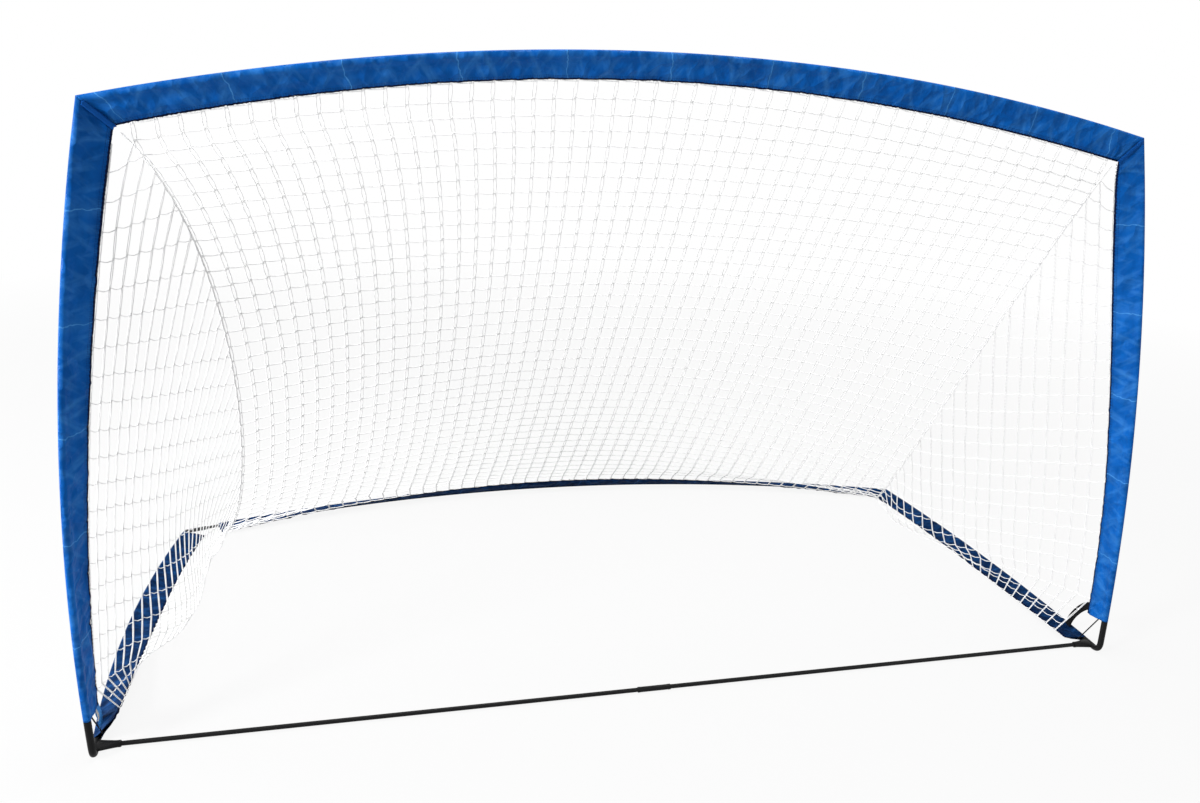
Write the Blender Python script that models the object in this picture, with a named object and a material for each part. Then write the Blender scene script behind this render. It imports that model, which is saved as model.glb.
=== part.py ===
"""Portable soccer goal: bent poles in fabric sleeves, a net on the sleeves' hems, and a front ground bar.

Metres, +Z up. The mouth faces -Y and the origin is on the ground under the middle of the goal's box.
Rails are the centre lines of the bent poles, and every piece on a pole takes its place from its rail.
"""

import math

import bmesh
import bpy
from mathutils import Vector

# Frame
GOAL_WIDTH = 2.400
CORNER_HEIGHT = 1.290
TOP_WIDTH = 2.226
TOP_LEAN = 0.106
CROSSBAR_RISE = 0.126
POST_BOW = 0.042
DEPTH = 1.100
REAR_WIDTH = 2.400
REAR_BOW = 0.222
SIDE_BOWS = {"left": 0.041, "right": 0.024}

# Poles and their joints
POLE_R = 0.0040
SLIP = 0.0003
FERRULE_R = 0.0057
FERRULE_LENGTH = 0.060
ELBOW_LEG = 0.060
ELBOW_STOP = 0.016
POST_SECTION_COUNT = 2
CROSSBAR_SECTION_COUNT = 4
SIDE_SECTION_COUNT = 2
REAR_SECTION_COUNT = 4

# Steel corner tubes under the front corners
CORNER_TUBE_R = 0.0068
POST_LEG = 0.083
GROUND_LEG = 0.060
CORNER_BEND = 0.024
POST_LEG_STOP = 0.036
GROUND_LEG_STOP = 0.032

# Fabric sleeves: a round edge over the pole, drawn flat to a sewn hem
SLEEVE_WIDTH = 0.067
SLEEVE_WALL = 0.0010
SLEEVE_CLEARANCE = 0.0007
HEM_HALF = 0.00125
SLEEVE_END_GAP = 0.0012
REAR_SLEEVE_START = 0.095
SIDE_SLEEVE_BACK_OFF = 0.014
MITRE_GAP = 0.0006

# Degrees that each hem turns from its first direction, at the start, middle and end of its rail
POST_TURNS = {"left": (90.0, 58.0, 27.0), "right": (90.0, 72.0, 2.0)}
CROSSBAR_TURNS = (27.0, 37.0, 2.0)
REAR_MIDDLE_TURN = 37.0
FRONT_LIFTS = {"left": 64.0, "right": 16.0}
LIFT_SHARE = 0.6

# Front ground bar
BAR_R = 0.0050
BAR_Y = 0.040
BAR_FERRULE_R = 0.0068
BAR_FERRULE_LENGTH = 0.080
BAR_FERRULE_STOP = 0.0006
SOCKET_R = 0.0075
SOCKET_ROOT_HALF = 0.0180
SOCKET_LENGTH = 0.042
SOCKET_FLOOR = 0.004
BAR_INSERTION = 0.022

# Net
STRAND = 0.0030
NET_GAP = 0.0004
NET_COLUMNS = 20
NET_ROWS = 12
NET_INSET = 0.022
NET_SAG = 0.030
SIDE_BELLY = {"left": 0.088, "right": 0.035}
BELLY_HEIGHT = 0.09
BELLY_DROP = 0.050
EDGE_PULL_POWER = 3.0
POST_NET_START = 0.120
SIDE_NET_START = 0.100
SEAM_CORD_R = 0.0020
SEAM_TOP_INWARD = {"left": 0.235, "right": 0.165}
SEAM_TOP_BACK = 0.012
SEAM_TOP_DROP = 0.240
SEAM_FOOT_INWARD = 0.147
SEAM_FOOT_FORWARD = 0.266
SEAM_FOOT_RISE = 0.070

# Small parts
STRAP_WIDTH = 0.020
STRAP_THICKNESS = 0.0015
STRAP_ON_POST = 0.100
STRAP_ON_SIDE = 0.120
STRAP_SEAT = 0.010
ELASTIC_R = 0.0015
ELASTIC_OFFSET = 0.020
TAB_WIDTH = 0.010
TAB_LENGTH = 0.028
TAB_THICKNESS = 0.0008
TAB_OFFSET = 0.044
BINDING_WIDTH = 0.009
BINDING_THICKNESS = 0.0016

# Sizes that follow from the ones above
SLEEVE_BORE_R = FERRULE_R + SLEEVE_CLEARANCE
SLEEVE_R = SLEEVE_BORE_R + SLEEVE_WALL
HEM_REACH = SLEEVE_WIDTH - SLEEVE_R
SLEEVE_TAPER = math.asin((SLEEVE_R - HEM_HALF) / HEM_REACH)
FLAT_TURN = -math.degrees(SLEEVE_TAPER)
GROUND_Z = SLEEVE_R
POST_SLEEVE_START = POST_LEG + SLEEVE_END_GAP
SIDE_SLEEVE_START = GROUND_LEG + SLEEVE_END_GAP
FRONT_Y = -(DEPTH + REAR_BOW + SLEEVE_R - CORNER_TUBE_R) / 2
MIDDLE_X = (SIDE_BOWS["left"] - SIDE_BOWS["right"]) / 2
SIDES = {"left": -1, "right": 1}

ROUND_SIDES = 10
CORNER_SIDES = 12
ARC_SIDES = 7
BEND_STEPS = 5
CROSSBAR_STEPS = 20
REAR_STEPS = 20
POST_STEPS = 12
SIDE_STEPS = 12
STRAP_STEPS = 9
ELASTIC_STEPS = 10
SHARP_ANGLE = math.radians(35)

UP = Vector((0, 0, 1))
BACK = Vector((0, 1, 0))
RIGHT = Vector((1, 0, 0))

FINISHES = {
    "blue_polyester": ((0.012, 0.090, 0.352), 0.45, 0.0),
    "navy_polyester": ((0.008, 0.032, 0.120), 0.50, 0.0),
    "binding_tape": ((0.008, 0.060, 0.250), 0.60, 0.0),
    "white_twine": ((0.860, 0.860, 0.850), 0.75, 0.0),
    "black_fibreglass": ((0.012, 0.012, 0.013), 0.38, 0.0),
    "black_steel": ((0.010, 0.010, 0.011), 0.35, 0.4),
    "bright_ferrule": ((0.560, 0.570, 0.580), 0.30, 1.0),
    "black_plastic": ((0.014, 0.014, 0.015), 0.45, 0.0),
    "black_webbing": ((0.013, 0.013, 0.014), 0.80, 0.0),
    "black_elastic": ((0.010, 0.010, 0.010), 0.85, 0.0),
    "white_tape": ((0.780, 0.780, 0.770), 0.80, 0.0),
}


def clear_scene():
    """Removes what the scene holds."""
    for obj in list(bpy.data.objects):
        bpy.data.objects.remove(obj, do_unlink=True)


def make_materials():
    """One Principled material for each finish."""
    materials = {}
    for name, (colour, roughness, metallic) in FINISHES.items():
        material = bpy.data.materials.new(name)
        material.use_nodes = True
        shader = material.node_tree.nodes["Principled BSDF"]
        shader.inputs["Base Color"].default_value = (*colour, 1.0)
        shader.inputs["Roughness"].default_value = roughness
        shader.inputs["Metallic"].default_value = metallic
        materials[name] = material
    return materials


def square_to(direction, tangent):
    """The unit part of a direction that is square to a tangent."""
    return (direction - tangent * direction.dot(tangent)).normalized()


def smooth(share):
    share = min(max(share, 0.0), 1.0)
    return share * share * (3 - 2 * share)


def swept_turn(first, middle, last):
    """The turn of a hem that passes through three values at the start, middle and end of its rail."""
    def turn(share):
        value = first * (1 - share) * (1 - 2 * share) + middle * 4 * share * (1 - share)
        return value + last * share * (2 * share - 1)
    return turn


def lifted_turn(lift):
    """The turn of a hem that stands up at the front corner and lies flat further back."""
    def turn(share):
        return FLAT_TURN + lift * max(0.0, 1 - share / LIFT_SHARE) ** 1.5
    return turn


class Rail:
    """A bent pole's centre line, and the way its sleeve's hem points at each distance along it."""

    SAMPLES = 400

    def __init__(self, start, end, bow, hem_axes, turn_at):
        self.start = start
        self.end = end
        self.bow = bow
        self.hem_axes = hem_axes
        self.turn_at = turn_at
        self.marks = set()
        points = [self.point(k / self.SAMPLES) for k in range(self.SAMPLES + 1)]
        self.reached = [0.0]
        for a, b in zip(points, points[1:]):
            self.reached.append(self.reached[-1] + (b - a).length)
        self.length = self.reached[-1]

    def point(self, share):
        return self.start.lerp(self.end, share) + self.bow * (4 * share * (1 - share))

    def share(self, distance):
        """The share of the curve's parameter that lies at a distance from its start."""
        low, high = 0, self.SAMPLES
        while high - low > 1:
            middle = (low + high) // 2
            if self.reached[middle] <= distance:
                low = middle
            else:
                high = middle
        step = self.reached[high] - self.reached[low]
        return (low + (distance - self.reached[low]) / step) / self.SAMPLES

    def centre(self, distance):
        return self.point(self.share(distance))

    def tangent(self, distance):
        share = self.share(distance)
        return (self.end - self.start + self.bow * (4 - 8 * share)).normalized()

    def hem(self, distance):
        """The unit direction from the pole to its hem."""
        turn = math.radians(self.turn_at(self.share(distance)))
        tangent = self.tangent(distance)
        a, b = (square_to(axis, tangent) for axis in self.hem_axes)
        return a * math.cos(turn) + b * math.sin(turn)

    def hem_point(self, distance, beyond=0.0, lift=0.0):
        """A point level with the hem's edge, or beyond it."""
        out = self.hem(distance) * (HEM_REACH + beyond)
        return self.centre(distance) + out + UP * lift

    def mark(self, *distances):
        self.marks.update(distances)

    def stations(self, low, high):
        """The distances at which the pieces between two distances share their rings."""
        tiny = 0.0005
        inner = [d for d in sorted(self.marks) if low + tiny < d < high - tiny]
        return [low, *inner, high]


def ring(centre, tangent, hem, radius, sides=ROUND_SIDES):
    """Corners of a round section, the first of them half a side on from the hem."""
    across = tangent.cross(hem)
    turns = [(k + 0.5) * 2 * math.pi / sides for k in range(sides)]
    return [centre + (hem * math.cos(a) + across * math.sin(a)) * radius for a in turns]


def rail_ring(rail, distance, radius, forward=True):
    tangent = rail.tangent(distance) * (1 if forward else -1)
    return ring(rail.centre(distance), tangent, rail.hem(distance), radius)


def sleeve_ring(rail, distance):
    """The sleeve's outer section: the hem's upper corner, round the pole, then the hem's lower corner."""
    centre, hem = rail.centre(distance), rail.hem(distance)
    across = rail.tangent(distance).cross(hem)
    hem_height = (SLEEVE_R - HEM_REACH * math.sin(SLEEVE_TAPER)) / math.cos(SLEEVE_TAPER)
    first = math.pi / 2 - SLEEVE_TAPER
    sweep = 2 * math.pi - 2 * first
    flat = [(HEM_REACH, hem_height)]
    for k in range(ARC_SIDES + 1):
        angle = first + sweep * k / ARC_SIDES
        flat.append((SLEEVE_R * math.cos(angle), SLEEVE_R * math.sin(angle)))
    flat.append((HEM_REACH, -hem_height))
    return [centre + hem * u + across * w for u, w in flat]


def onto_plane(points, direction, origin, normal):
    """Slides points along a direction until they lie on a plane."""
    moved = []
    for point in points:
        moved.append(point + direction * ((origin - point).dot(normal) / direction.dot(normal)))
    return moved


def add_object(name, mesh, material, parent):
    mesh.materials.append(material)
    obj = bpy.data.objects.new(name, mesh)
    bpy.context.scene.collection.objects.link(obj)
    obj.parent = parent
    return obj


def loft(name, rings, material, parent, closed=False):
    """Skins a row of equal rings, capped at both ends or closed on itself as a tube with a bore."""
    mesh = bpy.data.meshes.new(name)
    bm = bmesh.new()
    loops = [[bm.verts.new(point) for point in points] for points in rings]
    following = loops[1:] + loops[:1] if closed else loops[1:]
    for a, b in zip(loops, following):
        for k in range(len(a)):
            bm.faces.new((a[k - 1], a[k], b[k], b[k - 1]))
    if not closed:
        bm.faces.new(loops[0])
        bm.faces.new(loops[-1])
    bmesh.ops.recalc_face_normals(bm, faces=bm.faces)
    bm.to_mesh(mesh)
    bm.free()
    mesh.shade_smooth()
    mesh.set_sharp_from_angle(angle=SHARP_ANGLE)
    return add_object(name, mesh, material, parent)


def make_rails():
    """The centre lines of the arch's posts and crossbar and of the ground frame's sides and rear."""
    rails = {}
    feet, tops, backs = {}, {}, {}
    for side, sign in SIDES.items():
        feet[side] = Vector((MIDDLE_X + sign * GOAL_WIDTH / 2, FRONT_Y, GROUND_Z))
        tops[side] = Vector((MIDDLE_X + sign * TOP_WIDTH / 2, FRONT_Y + TOP_LEAN, CORNER_HEIGHT))
        backs[side] = Vector((MIDDLE_X + sign * REAR_WIDTH / 2, FRONT_Y + DEPTH, GROUND_Z))
        inward, outward = RIGHT * -sign, RIGHT * sign
        rails[side + "_post"] = Rail(
            feet[side], tops[side], outward * POST_BOW, (inward, BACK),
            swept_turn(*POST_TURNS[side]),
        )
        rails[side + "_side"] = Rail(
            feet[side], backs[side], outward * SIDE_BOWS[side], (inward, UP),
            lifted_turn(FRONT_LIFTS[side]),
        )
    rails["crossbar"] = Rail(
        tops["left"], tops["right"], UP * CROSSBAR_RISE, (-UP, BACK), swept_turn(*CROSSBAR_TURNS)
    )
    rails["rear"] = Rail(
        backs["left"], backs["right"], BACK * REAR_BOW, (-BACK, UP),
        swept_turn(FLAT_TURN, REAR_MIDDLE_TURN, FLAT_TURN),
    )
    return rails


def pole_span(rail_name, rail):
    """The distances between which a rail's pole runs, from socket floor to socket floor."""
    start = ELBOW_STOP
    if rail_name.endswith("post"):
        start = POST_LEG_STOP
    elif rail_name.endswith("side"):
        start = GROUND_LEG_STOP
    return start + SLIP, rail.length - ELBOW_STOP - SLIP


def section_joints(rail_name, rail, sections):
    """The distances at which a pole's sections meet."""
    low, high = pole_span(rail_name, rail)
    return [low + (high - low) * k / sections for k in range(1, sections)]


def net_stations(rail_name, rail):
    """The distances along a rail at which the net's knots are sewn to its hem."""
    end_inset = HEM_REACH + NET_INSET
    spans = {
        "left_post": (POST_NET_START, rail.length - end_inset, NET_ROWS),
        "right_post": (POST_NET_START, rail.length - end_inset, NET_ROWS),
        "left_side": (SIDE_NET_START, rail.length - SIDE_SLEEVE_BACK_OFF - NET_INSET, NET_ROWS),
        "right_side": (SIDE_NET_START, rail.length - end_inset, NET_ROWS),
        "crossbar": (end_inset, rail.length - end_inset, NET_COLUMNS),
        "rear": (REAR_SLEEVE_START + NET_INSET, rail.length - end_inset, NET_COLUMNS),
    }
    low, high, count = spans[rail_name]
    return [low + (high - low) * k / count for k in range(count + 1)]


def mark_rails(rails, sections):
    """Gives each rail the distances where any of its pieces has a ring, so that their facets run parallel."""
    for name, rail in rails.items():
        rail.mark(*net_stations(name, rail))
        for joint in section_joints(name, rail, sections[name]):
            half = FERRULE_LENGTH / 2
            rail.mark(joint - half, joint, joint + half)
        rail.mark(rail.length - ELBOW_LEG, rail.length - ELBOW_STOP)
        if name.endswith("post"):
            rail.mark(POST_LEG, POST_LEG_STOP)
        elif name.endswith("side"):
            rail.mark(GROUND_LEG, GROUND_LEG_STOP)
        else:
            rail.mark(ELBOW_LEG, ELBOW_STOP)


def make_pole(name, rail, joints, materials, parent, span):
    """The sections of one bent pole, and the ferrules that join them."""
    ends = [span[0], *joints, span[1]]
    for number, (low, high) in enumerate(zip(ends, ends[1:]), 1):
        low += SLIP / 2
        high -= SLIP / 2
        rings = [rail_ring(rail, d, POLE_R) for d in rail.stations(low, high)]
        loft(f"{name}_pole_section_{number}", rings, materials["black_fibreglass"], parent)
    for number, joint in enumerate(joints, 1):
        half = FERRULE_LENGTH / 2
        distances = [joint - half, joint, joint + half]
        outer = [rail_ring(rail, d, FERRULE_R) for d in distances]
        inner = [rail_ring(rail, d, POLE_R + SLIP) for d in reversed(distances)]
        label = f"{name}_pole_ferrule" if len(joints) == 1 else f"{name}_pole_ferrule_{number}"
        loft(label, outer + inner, materials["bright_ferrule"], parent, closed=True)


def turn_plane(first, first_distance, first_forward, second, second_distance, second_forward):
    """The plane on which two rails meet at a corner: its origin and the normal along the travel."""
    before = first.tangent(first_distance) * (1 if first_forward else -1)
    after = second.tangent(second_distance) * (1 if second_forward else -1)
    return first.centre(first_distance), (before + after).normalized()


def elbow_leg(rail, at_start, radius, entering):
    """Rings of one leg of an elbow, in the order of travel, without the ring on the corner's plane."""
    distances = [ELBOW_LEG, ELBOW_STOP]
    if not at_start:
        distances = [rail.length - d for d in distances]
    if not entering:
        distances.reverse()
    forward = at_start != entering
    return [rail_ring(rail, d, radius, forward) for d in distances]


def make_elbow(name, first, second, first_at_start, second_at_start, material, parent):
    """A mitred elbow with a blind socket in each leg."""
    corner, normal = turn_plane(
        first, 0.0 if first_at_start else first.length, not first_at_start,
        second, 0.0 if second_at_start else second.length, second_at_start,
    )
    legs_in = elbow_leg(first, first_at_start, FERRULE_R, entering=True)
    legs_out = elbow_leg(second, second_at_start, FERRULE_R, entering=False)
    end = 0.0 if first_at_start else first.length
    tangent = first.tangent(end)
    turned = onto_plane(
        rail_ring(first, end, FERRULE_R, forward=not first_at_start), tangent, corner, normal
    )
    socket_in = elbow_leg(first, first_at_start, POLE_R + SLIP, entering=True)
    socket_out = elbow_leg(second, second_at_start, POLE_R + SLIP, entering=False)
    rings = [socket_in[1], socket_in[0], *legs_in, turned, *legs_out, socket_out[1], socket_out[0]]
    loft(name, rings, material, parent)


def make_sleeve(name, rail, low, high, material, parent, low_plane=None, high_plane=None):
    """A fabric sleeve with a bore for the pole; an end with a plane is mitred on it."""
    keep = HEM_REACH + NET_INSET / 2
    first = low + keep if low_plane else low
    last = high - keep if high_plane else high
    distances = rail.stations(first, last)
    outer = [sleeve_ring(rail, d) for d in distances]
    bore = [rail_ring(rail, d, SLEEVE_BORE_R) for d in distances]
    if low_plane:
        tangent = rail.tangent(low)
        outer.insert(0, onto_plane(sleeve_ring(rail, low), tangent, *low_plane))
        bore.insert(0, onto_plane(rail_ring(rail, low, SLEEVE_BORE_R), tangent, *low_plane))
    if high_plane:
        tangent = rail.tangent(high)
        outer.append(onto_plane(sleeve_ring(rail, high), tangent, *high_plane))
        bore.append(onto_plane(rail_ring(rail, high, SLEEVE_BORE_R), tangent, *high_plane))
    loft(name, outer + bore[::-1], material, parent, closed=True)


def shifted(plane, distance):
    origin, normal = plane
    return origin + normal * distance, normal


def make_sleeves(rails, materials, parent):
    """The six sleeves. The two top corners and the right rear corner are mitred."""
    crossbar, rear = rails["crossbar"], rails["rear"]
    left_top = turn_plane(rails["left_post"], rails["left_post"].length, True, crossbar, 0.0, True)
    right_top = turn_plane(
        crossbar, crossbar.length, True, rails["right_post"], rails["right_post"].length, False
    )
    right_rear = turn_plane(
        rear, rear.length, True, rails["right_side"], rails["right_side"].length, False
    )
    half = MITRE_GAP / 2
    blue, navy = materials["blue_polyester"], materials["navy_polyester"]
    make_sleeve(
        "left_post_sleeve", rails["left_post"], POST_SLEEVE_START, rails["left_post"].length,
        blue, parent, high_plane=shifted(left_top, -half),
    )
    make_sleeve(
        "crossbar_sleeve", crossbar, 0.0, crossbar.length, blue, parent,
        low_plane=shifted(left_top, half), high_plane=shifted(right_top, -half),
    )
    make_sleeve(
        "right_post_sleeve", rails["right_post"], POST_SLEEVE_START, rails["right_post"].length,
        blue, parent, high_plane=shifted(right_top, half),
    )
    make_sleeve(
        "left_ground_sleeve", rails["left_side"], SIDE_SLEEVE_START,
        rails["left_side"].length - SIDE_SLEEVE_BACK_OFF, navy, parent,
    )
    make_sleeve(
        "right_ground_sleeve", rails["right_side"], SIDE_SLEEVE_START,
        rails["right_side"].length, navy, parent, high_plane=shifted(right_rear, half),
    )
    make_sleeve(
        "rear_ground_sleeve", rear, REAR_SLEEVE_START, rear.length, navy, parent,
        high_plane=shifted(right_rear, -half),
    )
    return {"left": left_top, "right": right_top}


def make_bindings(rails, top_planes, materials, parent):
    """A narrow tape sewn into each mitred top seam, on the side that faces the players."""
    crossbar = rails["crossbar"]
    for side in SIDES:
        rail = rails[side + "_post"]
        origin, normal = top_planes[side]
        end = rail.length
        section = onto_plane(sleeve_ring(rail, end), rail.tangent(end), origin, normal)
        if rail.tangent(end).cross(rail.hem(end)).dot(BACK) > 0:
            outer, inner = section[-2], section[-1]
        else:
            outer, inner = section[1], section[0]
        out = (inner - outer).cross(normal).normalized()
        out *= -1 if out.dot(BACK) > 0 else 1
        post_way = -rail.tangent(end)
        bar_way = crossbar.tangent(0.0) if side == "left" else -crossbar.tangent(crossbar.length)
        half = BINDING_WIDTH / 2
        post_way *= half / abs(post_way.dot(normal))
        bar_way *= half / abs(bar_way.dot(normal))
        rings = []
        for point in (outer, inner):
            base = point + out * NET_GAP * 2
            top = base + out * BINDING_THICKNESS
            rings.append([base + post_way, base, base + bar_way,
                          top + bar_way, top + out * BINDING_THICKNESS, top + post_way])
        loft(f"{side}_corner_binding", rings, materials["binding_tape"], parent)


def make_corner_tubes(rails, materials, parent):
    """Bent steel tubes: one leg up into the post's sleeve, one back along the ground."""
    for side in SIDES:
        post, ground = rails[side + "_post"], rails[side + "_side"]
        foot = post.centre(0.0)
        path = [post.centre(POST_LEG), post.centre(POST_LEG_STOP)]
        bend_start, bend_end = post.centre(CORNER_BEND), ground.centre(CORNER_BEND)
        for k in range(BEND_STEPS + 1):
            share = k / BEND_STEPS
            path.append(bend_start.lerp(foot, share).lerp(foot.lerp(bend_end, share), share))
        path += [ground.centre(GROUND_LEG_STOP), ground.centre(GROUND_LEG)]
        tangents = [-post.tangent(POST_LEG), -post.tangent(POST_LEG_STOP)]
        for before, after in zip(path[1:], path[3:-1]):
            tangents.append((after - before).normalized())
        tangents += [ground.tangent(GROUND_LEG_STOP), ground.tangent(GROUND_LEG)]
        side_way = post.tangent(0.0).cross(ground.tangent(0.0)).normalized()

        def section(index, radius):
            hem = square_to(side_way, tangents[index])
            return ring(path[index], tangents[index], hem, radius, CORNER_SIDES)

        bore = POLE_R + SLIP
        last = len(path) - 1
        rings = [section(1, bore), section(0, bore)]
        rings += [section(k, CORNER_TUBE_R) for k in range(len(path))]
        rings += [section(last, bore), section(last - 1, bore)]
        loft(f"{side}_corner_tube", rings, materials["black_steel"], parent)


def straight_ring(x, radius):
    return ring(Vector((x, FRONT_Y + BAR_Y, GROUND_Z)), RIGHT, UP, radius)


def make_front_bar(rails, materials, parent, left_slide, right_slide):
    """A two-piece bar: each half slides outward into its socket, which opens the joint in the middle."""
    reach = {}
    for side, sign in SIDES.items():
        ground = rails[side + "_side"]
        outward = square_to(RIGHT * sign, ground.tangent(BAR_Y))
        seat = ground.centre(BAR_Y) - outward * (CORNER_TUBE_R + SLIP)
        back = seat.x
        mouth = back - sign * SOCKET_LENGTH
        floor = back - sign * SOCKET_FLOOR
        reach[side] = mouth + sign * BAR_INSERTION
        bore = BAR_R + SLIP
        rings = [straight_ring(floor, bore), straight_ring(mouth, bore)]
        root = straight_ring(back, SOCKET_R)
        for point in root:
            point.y += (point.y - FRONT_Y - BAR_Y) * (SOCKET_ROOT_HALF / SOCKET_R - 1)
        rings += [straight_ring(mouth, SOCKET_R), onto_plane(root, RIGHT, seat, outward)]
        loft(f"{side}_bar_socket", rings, materials["black_steel"], parent)
    slides = {"left": left_slide, "right": right_slide}
    for side, sign in SIDES.items():
        ends = (MIDDLE_X + sign * BAR_FERRULE_STOP / 2, reach[side])
        rings = [[p - slides[side].location for p in straight_ring(x, BAR_R)] for x in ends]
        loft(f"front_bar_{side}_half", rings, materials["black_fibreglass"], slides[side])
    ends = (MIDDLE_X - BAR_FERRULE_LENGTH / 2, MIDDLE_X + BAR_FERRULE_LENGTH / 2)
    rings = [straight_ring(x, BAR_FERRULE_R) for x in ends]
    rings += [straight_ring(x, BAR_R + SLIP) for x in reversed(ends)]
    rings = [[p - left_slide.location for p in points] for points in rings]
    loft("front_bar_ferrule", rings, materials["black_steel"], left_slide, closed=True)


def curve_point(controls, share):
    """A point of a cubic Bezier curve."""
    a, b, c, d = controls
    rest = 1 - share
    return a * rest**3 + b * 3 * share * rest**2 + c * 3 * share**2 * rest + d * share**3


def beside_curve(controls, share, towards, distance):
    """A point beside a curve, square to it, on the side of another point."""
    point = curve_point(controls, share)
    tangent = curve_point(controls, min(share + 0.01, 1)) - curve_point(controls, max(share - 0.01, 0))
    return point + square_to(towards - point, tangent.normalized()) * distance


def on_upper_face(rail, distance, beyond_pole, gap):
    """A point just off the upper flat face of a ground sleeve, and the way that face looks."""
    hem = rail.hem(distance)
    across = rail.tangent(distance).cross(hem)
    across *= 1 if across.z > 0 else -1
    out = hem * math.sin(SLEEVE_TAPER) + across * math.cos(SLEEVE_TAPER)
    to_hem = hem * math.cos(SLEEVE_TAPER) - across * math.sin(SLEEVE_TAPER)
    return rail.centre(distance) + out * (SLEEVE_R + gap) + to_hem * beyond_pole, out


def make_straps(rails, materials, parent):
    """A webbing strap at each front corner, from the post sleeve's hem to the top of the ground sleeve."""
    for side in SIDES:
        post, ground = rails[side + "_post"], rails[side + "_side"]
        top = post.hem_point(STRAP_ON_POST, NET_GAP)
        foot, out = on_upper_face(ground, STRAP_ON_SIDE, STRAP_SEAT, NET_GAP)
        leave, arrive = post.hem(STRAP_ON_POST), -out
        controls = (top, top + leave * STRAP_WIDTH, foot + out * STRAP_WIDTH * 1.6, foot)
        points = [curve_point(controls, k / STRAP_STEPS) for k in range(STRAP_STEPS + 1)]
        rings = []
        for k, point in enumerate(points):
            if k == 0:
                along = leave
            elif k == STRAP_STEPS:
                along = arrive
            else:
                along = (points[k + 1] - points[k - 1]).normalized()
            share = k / STRAP_STEPS
            width_way = post.tangent(STRAP_ON_POST).lerp(ground.tangent(STRAP_ON_SIDE), share)
            wide = square_to(width_way, along) * STRAP_WIDTH / 2
            thick = along.cross(wide).normalized() * STRAP_THICKNESS / 2
            rings.append([point - wide - thick, point + wide - thick,
                          point + wide + thick, point - wide + thick])
        loft(f"{side}_corner_strap", rings, materials["black_webbing"], parent)


def make_elastics(rails, materials, parent):
    """A taut elastic cord across each front corner, between the ends of the two sleeves."""
    for side in SIDES:
        post, ground = rails[side + "_post"], rails[side + "_side"]
        top_d, foot_d = POST_SLEEVE_START, SIDE_SLEEVE_START
        off = ELASTIC_R + SLIP
        top = post.centre(top_d) + post.hem(top_d) * ELASTIC_OFFSET - post.tangent(top_d) * off
        foot = ground.centre(foot_d) + ground.hem(foot_d) * ELASTIC_OFFSET
        foot -= ground.tangent(foot_d) * off
        curve = bpy.data.curves.new(f"{side}_corner_elastic", "CURVE")
        curve.dimensions = "3D"
        curve.bevel_depth = ELASTIC_R
        curve.bevel_resolution = 2
        curve.use_fill_caps = True
        spline = curve.splines.new("POLY")
        spline.points.add(ELASTIC_STEPS)
        for k, point in enumerate(spline.points):
            point.co = (*top.lerp(foot, k / ELASTIC_STEPS), 1.0)
        add_object(f"{side}_corner_elastic", curve, materials["black_elastic"], parent)


def make_tab(rails, materials, parent):
    """A blank folded tape that hangs from the left post sleeve's lower end."""
    post = rails["left_post"]
    start = POST_SLEEVE_START
    hem, down = post.hem(start), -post.tangent(start)
    across = down.cross(hem)
    top = post.centre(start) + hem * TAB_OFFSET + down * SLIP * 2
    rings = []
    for point in (top, top + down * TAB_LENGTH):
        wide, thick = hem * TAB_WIDTH / 2, across * TAB_THICKNESS / 2
        rings.append([point - wide - thick, point + wide - thick,
                      point + wide + thick, point - wide + thick])
    loft("left_sleeve_tab", rings, materials["white_tape"], parent)


def seam_controls(side, rails):
    """Control points of the seam where the back net meets a side net."""
    sign = SIDES[side]
    post, crossbar = rails[side + "_post"], rails["crossbar"]
    at_left = side == "left"
    corner_d = HEM_REACH if at_left else crossbar.length - HEM_REACH
    inner = (post.hem_point(post.length - HEM_REACH) + crossbar.hem_point(corner_d)) / 2
    clear = (SEAM_CORD_R + NET_GAP) * math.sqrt(2)
    away = (RIGHT * -sign - UP).normalized()
    top = inner + away * clear
    post_net = net_stations(side + "_side", rails[side + "_side"])
    rear_net = net_stations("rear", rails["rear"])
    side_foot = rails[side + "_side"].hem_point(post_net[-1])
    rear_foot = rails["rear"].hem_point(rear_net[0] if at_left else rear_net[-1])
    foot = (side_foot + rear_foot) / 2
    foot.z = GROUND_Z + SEAM_CORD_R
    inward = RIGHT * -sign
    upper = top + inward * SEAM_TOP_INWARD[side] + BACK * SEAM_TOP_BACK - UP * SEAM_TOP_DROP
    lower = foot + inward * SEAM_FOOT_INWARD - BACK * SEAM_FOOT_FORWARD + UP * SEAM_FOOT_RISE
    return top, upper, lower, foot


def make_net(name, rows, material, parent):
    """A net of square strands on rows of knots; a shorter next row ends in a three-cornered mesh."""
    mesh = bpy.data.meshes.new(name)
    bm = bmesh.new()
    knots = [[bm.verts.new(point) for point in row] for row in rows]
    for low, high in zip(knots, knots[1:]):
        for k in range(len(low) - 1):
            if k + 1 < len(high):
                bm.faces.new((low[k], low[k + 1], high[k + 1], high[k]))
            else:
                bm.faces.new((low[k], low[k + 1], high[k]))
    bmesh.ops.recalc_face_normals(bm, faces=bm.faces)
    bm.to_mesh(mesh)
    bm.free()
    net = add_object(name, mesh, material, parent)
    wire = net.modifiers.new("strands", "WIREFRAME")
    wire.thickness = STRAND
    wire.use_boundary = True
    wire.use_even_offset = False
    wire.use_replace = True
    return net


def belly(side, across, up):
    """How far slack pulls a side net's knot inward and down, low above the ground sleeve."""
    share = smooth(across / 0.7) * (1 - 0.34 * smooth((across - 0.75) / 0.25))
    share *= smooth((1 - across) / 0.15)
    share *= up / BELLY_HEIGHT * math.exp(1 - up / BELLY_HEIGHT)
    return RIGHT * -SIDES[side] * SIDE_BELLY[side] * share - UP * BELLY_DROP * share


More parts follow.
